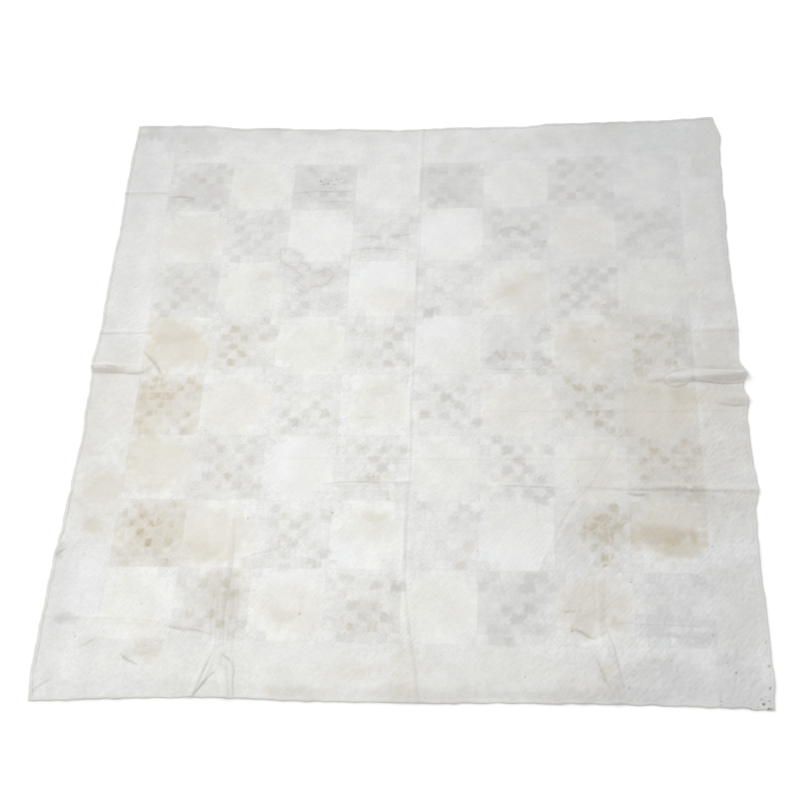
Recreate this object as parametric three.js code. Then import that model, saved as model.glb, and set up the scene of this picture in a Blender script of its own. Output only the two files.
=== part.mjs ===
// Irish chain quilt: an old, washed-out patchwork bedcover lying flat, seen as solids of its cloth.
// Millimetres, +Z up. X runs across the quilt, Y from its near edge to its far edge, and the
// underside rests on Z = 0. Tables and shapes are given from the middle of the patchwork, and
// the finished group is moved so that the middle of its outline stands at X = Y = 0.

import * as THREE from 'three';

// The patchwork: 8 by 8 blocks of 7 by 7 finished patches of 1 1/4 inch
const PATCH = 31.75;
const PATCHES_PER_BLOCK = 7;
const BLOCKS = 8;
const CENTRE_HALF = (PATCH * PATCHES_PER_BLOCK * BLOCKS) / 2;

// The cloth around it
const BORDER_WIDTH = 160;      // as cut; the edge tables give the drawn-in width where it lies
const BINDING_WIDTH = 11;
const EDGE_HALF = CENTRE_HALF + BORDER_WIDTH;
const INNER_EDGE = EDGE_HALF - BINDING_WIDTH;
const SEAM_GAP = 0.3;

// Thickness of top, batting and backing together, and what the binding adds
const THICKNESS = 4.2;
const BINDING_RISE = 0.9;
const BATTING_WAVE = 0.7;      // half height of the slow unevenness of the batting
const SLACK = 2;               // a fold lifts the backing off the bed by its height less this

// Spacing of the lines that carry the faces, away from folds, and where two are one
const LINE_PITCH = 90;
const LINE_MERGE = 7;
const ACROSS_STEPS = 3;        // faces across a border
const TALL_FOLD = 8;           // a fold this high gets lines at half its width too

// Reads a short table: each row becomes an object with the named columns
const table = (columns, rows) =>
  rows.map((row) => Object.fromEntries(columns.map((column, i) => [column, row[i]])));

// How far each edge of the cloth lies from the middle of the patchwork, at places along it
const EDGE = ['at', 'reach'];
const EDGES = {
  right: table(EDGE, [
    [-1049, 1028], [-967, 1033], [-746, 1031], [-615, 1029], [-470, 1031], [-400, 1046],
    [-278, 1038], [-144, 1036], [-94, 1045], [-44, 1033], [2, 1049], [53, 1029],
    [206, 1035], [468, 1029], [692, 1033], [860, 1036], [968, 1043], [1049, 1025],
  ]),
  left: table(EDGE, [
    [-1049, 1051], [-972, 1058], [-834, 1058], [-624, 1055], [-523, 1049], [-349, 1044],
    [-212, 1039], [-139, 1043], [-9, 1044], [39, 1054], [118, 1048], [230, 1045],
    [386, 1048], [593, 1045], [797, 1049], [933, 1050], [1049, 1045],
  ]),
  far: table(EDGE, [
    [-1049, 1067], [-866, 1065], [-793, 1063], [-646, 1043], [-543, 1046], [-424, 1037],
    [-191, 1031], [-82, 1025], [115, 1030], [366, 1031], [465, 1042], [645, 1043],
    [824, 1047], [1049, 1057],
  ]),
  near: table(EDGE, [
    [-1049, 1076], [-836, 1066], [-689, 1060], [-579, 1055], [-455, 1056], [-253, 1060],
    [11, 1059], [363, 1053], [605, 1051], [708, 1051], [879, 1053], [1049, 1056],
  ]),
};

// Folds and tucks: a soft ridge from one point to another, with its height at each end and
// the half width at which it dies out. Ends past the edge run off the cloth at full height.
const FOLDS = table(['name', 'x0', 'y0', 'x1', 'y1', 'head', 'tail', 'width'], [
  ['left_tuck', -1070, 35, -872, 30, 16, 5, 22],
  ['right_tuck', 1070, -8, 762, -17, 17, 4, 24],
  ['right_tuck_low', 1070, -96, 935, -88, 11, 1, 24],
  ['left_upper_fold', -1070, 164, -872, 166, 4, 2, 20],
  ['right_upper_fold', 1070, 164, 872, 170, 5, 2, 20],
  ['left_far_fold', -1070, 754, -885, 750, 5, 2, 20],
  ['left_near_fold', -1070, -822, -603, -826, 5, 2, 20],
  ['middle_fold_a', -239, -388, 8, -374, 3, 6, 22],
  ['middle_fold_b', 229, -390, 450, -396, 5, 3, 22],
  ['middle_fold_c', 541, -378, 1070, -405, 2, 7, 22],
  ['lengthways_crease', 1, 1060, 2, -704, 3, 3, 18],
  ['lengthways_crease_end', 2, -704, 60, -1080, 3, 5, 18],
  ['left_quarter_crease', -519, -319, -522, -900, 2, 6, 22],
  ['near_pucker_a', -522, -890, -590, -1085, 6, 13, 20],
  ['near_pucker_b', -508, -900, -452, -1085, 6, 13, 20],
  ['right_quarter_crease', 567, -690, 562, -850, 2, 6, 22],
  ['near_pucker_c', 558, -840, 622, -1080, 6, 11, 24],
]);

// Eased value between the rows of an edge table: flat at each row, so no row is overshot
function reachAt(rows, at) {
  const next = rows.findIndex((row) => row.at >= at);
  if (next <= 0) return rows[next === 0 ? 0 : rows.length - 1].reach;
  const [a, b] = [rows[next - 1], rows[next]];
  const t = (at - a.at) / (b.at - a.at);
  return a.reach + (b.reach - a.reach) * t * t * (3 - 2 * t);
}

// Inside the patchwork the cloth lies as cut; across a border it is drawn out to the edge
function drawnOut(along, across, lowRows, highRows) {
  if (Math.abs(along) <= CENTRE_HALF) return along;
  const reach = reachAt(along < 0 ? lowRows : highRows, across);
  const share = (Math.abs(along) - CENTRE_HALF) / BORDER_WIDTH;
  return Math.sign(along) * (CENTRE_HALF + share * (reach - CENTRE_HALF));
}

function place(u, v) {
  return {
    x: drawnOut(u, v, EDGES.left, EDGES.right),
    y: drawnOut(v, u, EDGES.near, EDGES.far),
  };
}

// Height of the cloth over the bed: the sum of the ridges, each (1 - q^2)^2 high at a distance
// of q half widths from its line
function foldHeight(x, y) {
  let height = 0;
  for (const { x0, y0, x1, y1, head, tail, width } of FOLDS) {
    const [dx, dy] = [x1 - x0, y1 - y0];
    const along = ((x - x0) * dx + (y - y0) * dy) / (dx * dx + dy * dy);
    const t = Math.min(1, Math.max(0, along));
    const q = Math.hypot(x - x0 - t * dx, y - y0 - t * dy) / width;
    if (q < 1) height += (head + (tail - head) * t) * (1 - q * q) ** 2;
  }
  return height;
}

const battingWave = (x, y) =>
  BATTING_WAVE * (Math.sin(x / 71 + 1.3 * Math.sin(y / 190)) * Math.cos(y / 83 + 0.7)
    + 0.5 * Math.sin((x + y) / 53));

const topHeight = (x, y) => THICKNESS + battingWave(x, y) + foldHeight(x, y);
const undersideHeight = (x, y) => Math.max(0, foldHeight(x, y) - SLACK);

// Lines along one axis that carry a sheet's faces: the fixed ones, then the folds that cross the
// strip where they lie, the places of an edge table's rows, and an even pitch between them.
// A line closer than LINE_MERGE to one that is already kept is left out.
function lines(axis, fixed, strip, pitch, places = []) {
  const [low, high] = [Math.min(...fixed), Math.max(...fixed)];
  const [p, q] = axis === 'x' ? ['x', 'y'] : ['y', 'x'];
  const wanted = [];
  for (const fold of FOLDS) {
    const [p0, p1, q0, q1] = [fold[p + '0'], fold[p + '1'], fold[q + '0'], fold[q + '1']];
    if (Math.abs(p1 - p0) > Math.abs(q1 - q0)) continue;
    const ends = strip.map((edge) => Math.min(1, Math.max(0, (edge - q0) / (q1 - q0))));
    if (ends[0] === ends[1]) continue;
    const spots = ends.map((t) => p0 + t * (p1 - p0));
    const from = Math.min(...spots) - fold.width;
    const to = Math.max(...spots) + fold.width;
    const fine = Math.max(fold.head, fold.tail) >= TALL_FOLD ? fold.width / 2 : fold.width;
    const steps = Math.round((to - from) / fine);
    for (let i = 0; i <= steps; i += 1) wanted.push(from + ((to - from) * i) / steps);
  }
  wanted.push(...places);
  const even = Math.round((high - low) / pitch);
  for (let i = 1; i < even; i += 1) wanted.push(low + ((high - low) * i) / even);
  const kept = [...fixed];
  for (const value of wanted) {
    const inside = value > low && value < high;
    if (inside && kept.every((other) => Math.abs(other - value) >= LINE_MERGE)) kept.push(value);
  }
  return kept.sort((a, b) => a - b);
}

// The same lines from low to high only, with the first and last of them at those values
function between(sorted, low, high) {
  const inside = sorted.filter((value) => value > low + LINE_MERGE && value < high - LINE_MERGE);
  return [low, ...inside, high];
}

const mirror = (values) => values.map((value) => -value).reverse();

// A closed sheet on the crossings of two sets of lines: a top and an underside joined by
// upright walls. shape(u, v) gives x, y, top and under at a crossing.
function sheetGeometry(us, vs, shape) {
  const positions = [];
  const faces = [];
  const layer = us.length * vs.length;
  const rows = vs.map((v) => us.map((u) => shape(u, v)));
  for (const height of ['top', 'under']) {
    for (const row of rows) for (const p of row) positions.push(p.x, p.y, p[height]);
  }
  const at = (i, j, low) => j * us.length + i + (low ? layer : 0);
  for (let j = 0; j < vs.length - 1; j += 1) {
    for (let i = 0; i < us.length - 1; i += 1) {
      faces.push(at(i, j), at(i + 1, j), at(i + 1, j + 1), at(i, j), at(i + 1, j + 1), at(i, j + 1));
      faces.push(at(i, j, 1), at(i + 1, j + 1, 1), at(i + 1, j, 1));
      faces.push(at(i, j, 1), at(i, j + 1, 1), at(i + 1, j + 1, 1));
    }
  }
  const [lastI, lastJ] = [us.length - 1, vs.length - 1];
  const wall = (a, b) => faces.push(a, a + layer, b + layer, a, b + layer, b);
  for (let i = 0; i < lastI; i += 1) {
    wall(at(i, 0), at(i + 1, 0));
    wall(at(i + 1, lastJ), at(i, lastJ));
  }
  for (let j = 0; j < lastJ; j += 1) {
    wall(at(lastI, j), at(lastI, j + 1));
    wall(at(0, j + 1), at(0, j));
  }
  const geometry = new THREE.BufferGeometry();
  geometry.setAttribute('position', new THREE.Float32BufferAttribute(positions, 3));
  geometry.setIndex(faces);
  geometry.computeVertexNormals();
  return geometry;
}

const MATERIALS = {
  patchwork: new THREE.MeshStandardMaterial({ color: '#dedbd6', roughness: 0.95, metalness: 0 }),
  border: new THREE.MeshStandardMaterial({ color: '#dfe1df', roughness: 0.95, metalness: 0 }),
  binding: new THREE.MeshStandardMaterial({ color: '#cfcabd', roughness: 0.9, metalness: 0 }),
};

const quilt = new THREE.Group();

function addSheet(name, material, us, vs, shape) {
  const mesh = new THREE.Mesh(sheetGeometry(us, vs, shape), MATERIALS[material]);
  mesh.name = name;
  quilt.add(mesh);
}

function clothShape(u, v) {
  const { x, y } = place(u, v);
  return { x, y, top: topHeight(x, y), under: undersideHeight(x, y) };
}

// The patchwork centre, one sheet up to the border seams
function addPatchwork() {
  const half = CENTRE_HALF - SEAM_GAP / 2;
  const us = lines('x', [-half, half], [-half, half], LINE_PITCH);
  const vs = lines('y', [-half, half], [-half, half], LINE_PITCH);
  addSheet('patchwork_centre', 'patchwork', us, vs, clothShape);
}

// Lines across a border, and the lines along each edge, which its border and binding share.
// Along the far and near edges they also hold the side borders' lines, whose ends lie there.
const OUT = [CENTRE_HALF, EDGE_HALF];
const ACROSS = Array.from({ length: ACROSS_STEPS + 1 },
  (_, i) => CENTRE_HALF + ((INNER_EDGE - CENTRE_HALF) * i) / ACROSS_STEPS);
const FIXED = [...mirror(ACROSS), ...ACROSS];
const ALONG = {
  right: lines('y', FIXED, OUT, LINE_PITCH, EDGES.right.map((row) => row.at)),
  left: lines('y', FIXED, mirror(OUT), LINE_PITCH, EDGES.left.map((row) => row.at)),
  far: lines('x', FIXED, OUT, LINE_PITCH, EDGES.far.map((row) => row.at)),
  near: lines('x', FIXED, mirror(OUT), LINE_PITCH, EDGES.near.map((row) => row.at)),
};

// Borders: the side ones run the whole length, the far and near ones lie between them
function addBorders() {
  const outer = INNER_EDGE - SEAM_GAP / 2;
  const short = CENTRE_HALF - SEAM_GAP / 2;
  const across = between(ACROSS, CENTRE_HALF + SEAM_GAP / 2, outer);
  addSheet('border_far', 'border', between(ALONG.far, -short, short), across, clothShape);
  addSheet('border_near', 'border', between(ALONG.near, -short, short), mirror(across), clothShape);
  addSheet('border_right', 'border', across, between(ALONG.right, -outer, outer), clothShape);
  addSheet('border_left', 'border', mirror(across), between(ALONG.left, -outer, outer), clothShape);
}

// The binding's section, from its stitched inner line (share 0) to the turned edge (share 1)
const BINDING_SECTION = table(['share', 'rise', 'under'], [
  [0, 0.1, 0],
  [0.3, 1, 0],
  [0.75, 0.7, 0],
  [1, -1.4, 0.9],
]);

// One binding strip, mitred at its ends, along X (far and near) or along Y (right and left)
function addBinding(name, axis, side) {
  const inner = INNER_EDGE + SEAM_GAP / 2;
  const depths = BINDING_SECTION.map(({ share }) => inner + share * (EDGE_HALF - inner));
  const across = side < 0 ? mirror(depths) : depths;
  const along = between(ALONG[name], -EDGE_HALF, EDGE_HALF);
  const shape = (u, v) => {
    const [depth, run] = axis === 'x' ? [Math.abs(v), u] : [Math.abs(u), v];
    const mitre = depth - SEAM_GAP * Math.SQRT1_2;
    const clipped = Math.min(mitre, Math.max(-mitre, run));
    const { x, y } = axis === 'x' ? place(clipped, v) : place(u, clipped);
    const row = BINDING_SECTION[depths.indexOf(depth)];
    const top = topHeight(x, y) + row.rise * BINDING_RISE;
    return { x, y, top, under: undersideHeight(x, y) + row.under };
  };
  const [us, vs] = axis === 'x' ? [along, across] : [across, along];
  addSheet(`binding_${name}`, 'binding', us, vs, shape);
}

addPatchwork();
addBorders();
addBinding('far', 'x', 1);
addBinding('near', 'x', -1);
addBinding('right', 'y', 1);
addBinding('left', 'y', -1);

// The middle of the outline, which the borders' uneven widths put beside the patchwork's middle
const outline = new THREE.Box3().setFromObject(quilt);
const middle = outline.getCenter(new THREE.Vector3());
quilt.position.set(-middle.x, -middle.y, 0);
quilt.updateMatrixWorld(true);

export default quilt;
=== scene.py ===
# %% [markdown]
# # An old irish chain quilt, spread flat
#
# The object is a washed-out patchwork bed quilt: 64 blocks in the irish chain pattern, a plain border
# on each side and a narrow binding. It lies on a pale floor and is seen from above, at the slant that
# the camera below gives. The lesson builds it as a quilter would look at it: first where the cloth
# lies, then how it rises in folds and quilting, then what age has done to its colour.
#
# The shape could be left to a cloth simulation, but this quilt is flat, and what makes it look real
# are the tucks, creases and stains at their own places. Those are worked out as plain functions of
# the place on the cloth, with numpy, and put into the meshes.

# %% Load the frame
import math

import bpy
import numpy as np
from mathutils import Matrix, Vector


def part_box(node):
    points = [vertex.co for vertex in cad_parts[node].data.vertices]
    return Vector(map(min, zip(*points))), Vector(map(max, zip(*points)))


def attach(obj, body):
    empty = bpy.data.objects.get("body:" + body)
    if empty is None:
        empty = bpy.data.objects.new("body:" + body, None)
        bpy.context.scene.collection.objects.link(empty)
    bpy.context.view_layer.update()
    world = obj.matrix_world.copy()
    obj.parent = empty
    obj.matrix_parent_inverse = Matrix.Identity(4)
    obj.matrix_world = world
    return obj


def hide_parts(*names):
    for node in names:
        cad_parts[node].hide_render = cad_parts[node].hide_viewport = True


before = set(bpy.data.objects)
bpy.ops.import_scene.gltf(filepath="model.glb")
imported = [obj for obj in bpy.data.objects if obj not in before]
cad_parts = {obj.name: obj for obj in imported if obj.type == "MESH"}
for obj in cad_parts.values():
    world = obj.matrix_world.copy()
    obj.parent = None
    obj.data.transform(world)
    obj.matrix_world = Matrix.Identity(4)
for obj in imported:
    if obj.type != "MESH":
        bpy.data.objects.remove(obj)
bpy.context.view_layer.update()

# %% [markdown]
# ## Sizes
#
# A quilter counts in patches: the finished square is 1 1/4 inch, seven of them make a block, and the
# patchwork is eight blocks each way. Everything on the cloth is written in millimetres from the
# middle of the patchwork, and only the finished meshes are in metres. That middle comes from the
# solid of the patchwork, so the pieces need no fitting.

# %% Sizes in millimetres
MM = 0.001
PATCH = 31.75
PATCHES_PER_BLOCK = 7
BLOCKS = 8
BLOCK = PATCH * PATCHES_PER_BLOCK
CENTRE_HALF = BLOCK * BLOCKS / 2
BORDER_WIDTH = 160
BINDING_WIDTH = 11
EDGE_HALF = CENTRE_HALF + BORDER_WIDTH
INNER_EDGE = EDGE_HALF - BINDING_WIDTH
THICKNESS = 4.2
BINDING_RISE = 0.9

patchwork_low, patchwork_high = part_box("patchwork_centre")
MIDDLE_X = (patchwork_low[0] + patchwork_high[0]) / 2 / MM
MIDDLE_Y = (patchwork_low[1] + patchwork_high[1]) / 2 / MM
print(f"the patchwork's middle stands at {MIDDLE_X:.1f}, {MIDDLE_Y:.1f} mm")

# %% [markdown]
# ## The camera
#
# The camera comes first, because it decides how much detail the cloth needs. It looks down at about
# 60 degrees, a little from the right, and is rolled by about 9 degrees, which is why the near edge of
# the quilt looks level while its sides lean. Its matrix is put together from three directions: right,
# up and back.

# %% Camera
CAMERA_AZIMUTH = math.radians(10.12)
CAMERA_ELEVATION = math.radians(59.86)
CAMERA_ROLL = math.radians(-8.755)
CAMERA_DISTANCE = 3.975
CAMERA_LENS = 56.69
CAMERA_SENSOR = 36
AIM_ON_FLOOR = Vector((-0.0277, -0.0867, 0))


def make_camera():
    """back = (sin a cos e, -cos a cos e, sin e), right lies level, up = back x right, both rolled."""
    a, e = CAMERA_AZIMUTH, CAMERA_ELEVATION
    back = Vector((math.sin(a) * math.cos(e), -math.cos(a) * math.cos(e), math.sin(e)))
    level = Vector((math.cos(a), math.sin(a), 0))
    upright = back.cross(level)
    right = level * math.cos(CAMERA_ROLL) + upright * math.sin(CAMERA_ROLL)
    up = upright * math.cos(CAMERA_ROLL) - level * math.sin(CAMERA_ROLL)
    data = bpy.data.cameras.new("camera")
    data.sensor_width = CAMERA_SENSOR
    data.lens = CAMERA_LENS
    camera = bpy.data.objects.new("camera", data)
    turn = Matrix((right, up, back)).transposed().to_4x4()
    camera.matrix_world = Matrix.Translation(AIM_ON_FLOOR + back * CAMERA_DISTANCE) @ turn
    bpy.context.scene.collection.objects.link(camera)
    bpy.context.scene.camera = camera


make_camera()
print(f"the camera stands {CAMERA_DISTANCE} m from its aim on the floor")

# %% [markdown]
# ## Unevenness
#
# Hand work and washing make everything a little uneven. One helper gives that: random heights at the
# corners of a square lattice, blended smoothly between the corners. With a fixed seed it is the same
# on each run; the last number of each call below is that seed. Laid over itself at smaller sizes
# it becomes crumpled.

# %% Smooth random unevenness
LATTICE = 256
CRUMPLED_TOTAL = 1.5


def blend(t):
    """The ease curve t * t * (3 - 2 t), flat at 0 and at 1."""
    t = np.clip(t, 0, 1)
    return t * t * (3 - 2 * t)


def uneven(x, y, size, seed):
    """Random values from -1 to 1 at the corners of squares of that size, eased in between."""
    table = np.random.default_rng(seed).uniform(-1, 1, (LATTICE, LATTICE))
    gx, gy = x / size + LATTICE / 2, y / size + LATTICE / 2
    i, j = np.floor(gx).astype(int), np.floor(gy).astype(int)
    tx, ty = blend(gx - i), blend(gy - j)
    i0, i1, j0, j1 = i % LATTICE, (i + 1) % LATTICE, j % LATTICE, (j + 1) % LATTICE
    near = table[j0, i0] * (1 - tx) + table[j0, i1] * tx
    far = table[j1, i0] * (1 - tx) + table[j1, i1] * tx
    return near * (1 - ty) + far * ty


def crumpled(x, y, size, seed, layers=3):
    """Layers of uneven(), each half the size and half the height of the one before, their sum
    brought back to about -1 to 1."""
    total = 0
    for layer in range(layers):
        total = total + uneven(x, y, size / 2**layer, seed + layer) / 2**layer
    return total / CRUMPLED_TOTAL


def ragged(x, y, layers, seed):
    """Layers of uneven(), each given as (height, size in mm), each with the next seed."""
    return sum(high * uneven(x, y, size, seed + k) for k, (high, size) in enumerate(layers))


sample = crumpled(np.arange(500), np.zeros(500), 46, 1)
print(f"crumpled runs from {sample.min():.2f} to {sample.max():.2f}")

# %% [markdown]
# ## Where the cloth lies
#
# Sewing coordinates u and v run across and along the quilt as it was cut. Inside the patchwork the
# cloth lies as cut. The borders have been drawn in by washing and lie in shallow waves, so they are
# stretched between the patchwork and an edge whose distance from the middle is tabled. The corners
# of the patches miss their places by about a millimetre, as pieced corners do.

# %% Outline of the cloth, as distances from the middle of the patchwork
EDGES = {
    "right": (
        # at, reach
        (-1049, 1028), (-967, 1033), (-746, 1031), (-615, 1029), (-470, 1031), (-400, 1046),
        (-278, 1038), (-144, 1036), (-94, 1045), (-44, 1033), (2, 1049), (53, 1029),
        (206, 1035), (468, 1029), (692, 1033), (860, 1036), (968, 1043), (1049, 1025),
    ),
    "left": (
        (-1049, 1051), (-972, 1058), (-834, 1058), (-624, 1055), (-523, 1049), (-349, 1044),
        (-212, 1039), (-139, 1043), (-9, 1044), (39, 1054), (118, 1048), (230, 1045),
        (386, 1048), (593, 1045), (797, 1049), (933, 1050), (1049, 1045),
    ),
    "far": (
        (-1049, 1067), (-866, 1065), (-793, 1063), (-646, 1043), (-543, 1046), (-424, 1037),
        (-191, 1031), (-82, 1025), (115, 1030), (366, 1031), (465, 1042), (645, 1043),
        (824, 1047), (1049, 1057),
    ),
    "near": (
        (-1049, 1076), (-836, 1066), (-689, 1060), (-579, 1055), (-455, 1056), (-253, 1060),
        (11, 1059), (363, 1053), (605, 1051), (708, 1051), (879, 1053), (1049, 1056),
    ),
}
FAR_SEAM_PULL = (
    # at, pull
    (-889, 4), (-700, 6), (-520, 14), (-400, 22), (-100, 22), (150, 23), (350, 12), (450, 6),
    (889, 1),
)
LEFT_SEAM_PULL = ((-889, 4), (-700, 9), (-300, 11), (100, 9), (300, 4), (889, 0))
PULL_DEPTH = 240
for edge, table in EDGES.items():
    print(f"{edge} edge: {min(reach for _, reach in table)} mm from the middle at the least")

# %% From sewing coordinates to places on the floor
CORNER_MISS = 1.6
EDGE_WAVER = 1.6
EDGE_WAVER_SIZE = 23
EDGE_WAVER_DEPTH = 60


def reach_at(edge, at):
    """The edge's distance from the middle at places along it, eased from row to row."""
    places, reaches = np.array(EDGES[edge], dtype=float).T
    row = np.clip(np.searchsorted(places, at), 1, len(places) - 1)
    t = blend((at - places[row - 1]) / (places[row] - places[row - 1]))
    return reaches[row - 1] + (reaches[row] - reaches[row - 1]) * t


def drawn_out(along, across, low_edge, high_edge):
    """Equal to along inside the patchwork; past it, in proportion to the tabled edge."""
    reach = np.where(along < 0, reach_at(low_edge, across), reach_at(high_edge, across))
    share = (np.abs(along) - CENTRE_HALF) / BORDER_WIDTH
    outside = np.sign(along) * (CENTRE_HALF + share * (reach - CENTRE_HALF))
    return np.where(np.abs(along) <= CENTRE_HALF, along, outside)


def seam_pull(along, across, pulls):
    """How far a border seam has moved inwards: the tabled pull at the seam itself, easing to
    nothing a block's width inside of it and at the edge of the quilt."""
    places, amounts = np.array(pulls, dtype=float).T
    inside = blend(1 - (CENTRE_HALF - along) / PULL_DEPTH)
    outside = blend((EDGE_HALF - along) / BORDER_WIDTH)
    return np.interp(across, places, amounts) * np.where(along < CENTRE_HALF, inside, outside)


def place(u, v):
    """Where the sewing coordinates u, v lie, in mm: drawn out, with small misses at the corners
    and a small waver along the edge."""
    x = drawn_out(u, v, "left", "right") + seam_pull(-u, v, LEFT_SEAM_PULL)
    y = drawn_out(v, u, "near", "far") - seam_pull(v, u, FAR_SEAM_PULL)
    rim = np.maximum(np.abs(u), np.abs(v)) - INNER_EDGE
    waver = EDGE_WAVER * blend((rim + EDGE_WAVER_DEPTH) / EDGE_WAVER_DEPTH)
    x = x + CORNER_MISS * uneven(u, v, PATCH, 11) + waver * uneven(u, v, EDGE_WAVER_SIZE, 12)
    y = y + CORNER_MISS * uneven(u, v, PATCH, 13) + waver * uneven(u, v, EDGE_WAVER_SIZE, 14)
    return x, y


corner_x, corner_y = place(np.array([EDGE_HALF]), np.array([-EDGE_HALF]))
print(f"the near right corner lies at {corner_x[0]:.0f}, {corner_y[0]:.0f} mm")

# %% [markdown]
# ## Folds, tucks and creases
#
# Where the quilt was folded away for years, its creases stay, and where it lies too full, it rises in
# tucks that run off its edges. A ridge is a line from one point to another with a height at each end.
# The table repeats the ridges of the solids, so cloth and solid lie alike.

# %% Ridges that the solids have too
FOLDS = (
    # name, x0, y0, x1, y1, head, tail, width
    ("left_tuck", -1070, 30, -872, 22, 9, 2, 20),
    ("right_tuck", 1070, -4, 762, -14, 14, 3, 24),
    ("right_tuck_low", 1070, -92, 935, -86, 8, 1, 24),
    ("left_upper_fold", -1070, 164, -872, 166, 3, 1, 18),
    ("right_upper_fold", 1070, 164, 872, 170, 4, 1, 20),
    ("left_far_fold", -1070, 754, -885, 750, 4, 1, 18),
    ("left_near_fold", -1070, -822, -603, -845, 1.5, 1, 20),
    ("middle_fold_a", -239, -388, 8, -380, 1.5, 2.5, 18),
    ("middle_fold_b", 229, -390, 450, -396, 2, 1, 18),
    ("middle_fold_c", 541, -388, 1070, -405, 1, 5, 26),
    ("lengthways_crease", 1, 1060, 2, -704, 1.4, 1.2, 14),
    ("lengthways_crease_end", 2, -704, 60, -1080, 1.2, 2.5, 16),
    ("left_quarter_crease", -519, -319, -522, -900, 1, 2.5, 20),
    ("near_pucker_a", -530, -890, -590, -1085, 1, 3.5, 16),
    ("near_pucker_b", -508, -900, -472, -1085, 1, 4, 18),
    ("right_quarter_crease", 567, -690, 566, -850, 1, 2.5, 20),
    ("near_pucker_c", 566, -840, 618, -1080, 2, 4, 28),
)
SLACK = 2
FOLD_WAVER = 3.5
FOLD_WAVER_SIZE = 70
NEAR_RIGHT = (0.5, -0.8)
STEEP_SIDE = 0.62
BATTING_WAVE = 0.7
WAVE_X, WAVE_Y, WAVE_BEND, WAVE_SLANT = 71, 83, 190, 53


def fold_height(x, y):
    """Sum of (1 - q^2)^2 ridges, q the distance from the line in half widths. The line wavers a
    little, and the side that faces the near right is drawn in, so it is the steeper one."""
    height = np.zeros_like(x)
    bent_x = x + FOLD_WAVER * uneven(x, y, FOLD_WAVER_SIZE, 21)
    bent_y = y + FOLD_WAVER * uneven(x, y, FOLD_WAVER_SIZE, 22)
    for _, x0, y0, x1, y1, head, tail, width in FOLDS:
        dx, dy = x1 - x0, y1 - y0
        t = np.clip(((bent_x - x0) * dx + (bent_y - y0) * dy) / (dx * dx + dy * dy), 0, 1)
        off_x, off_y = bent_x - x0 - t * dx, bent_y - y0 - t * dy
        near_right = off_x * NEAR_RIGHT[0] + off_y * NEAR_RIGHT[1] > 0
        q = np.hypot(off_x, off_y) / np.where(near_right, width * STEEP_SIDE, width)
        height += np.where(q < 1, (head + (tail - head) * t) * (1 - q * q) ** 2, 0)
    return height


def batting_wave(x, y):
    """The slow unevenness of the batting, as the solids have it: products of long sines."""
    slow = np.sin(x / WAVE_X + 1.3 * np.sin(y / WAVE_BEND)) * np.cos(y / WAVE_Y + 0.7)
    return BATTING_WAVE * (slow + 0.5 * np.sin((x + y) / WAVE_SLANT))


def underside_height(x, y):
    """The backing lies on the floor, but for the higher folds, which lift it."""
    return np.maximum(0, fold_height(x, y) - SLACK)


print(f"{len(FOLDS)} folds, the highest {max(max(fold[5:7]) for fold in FOLDS)} mm")
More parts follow.
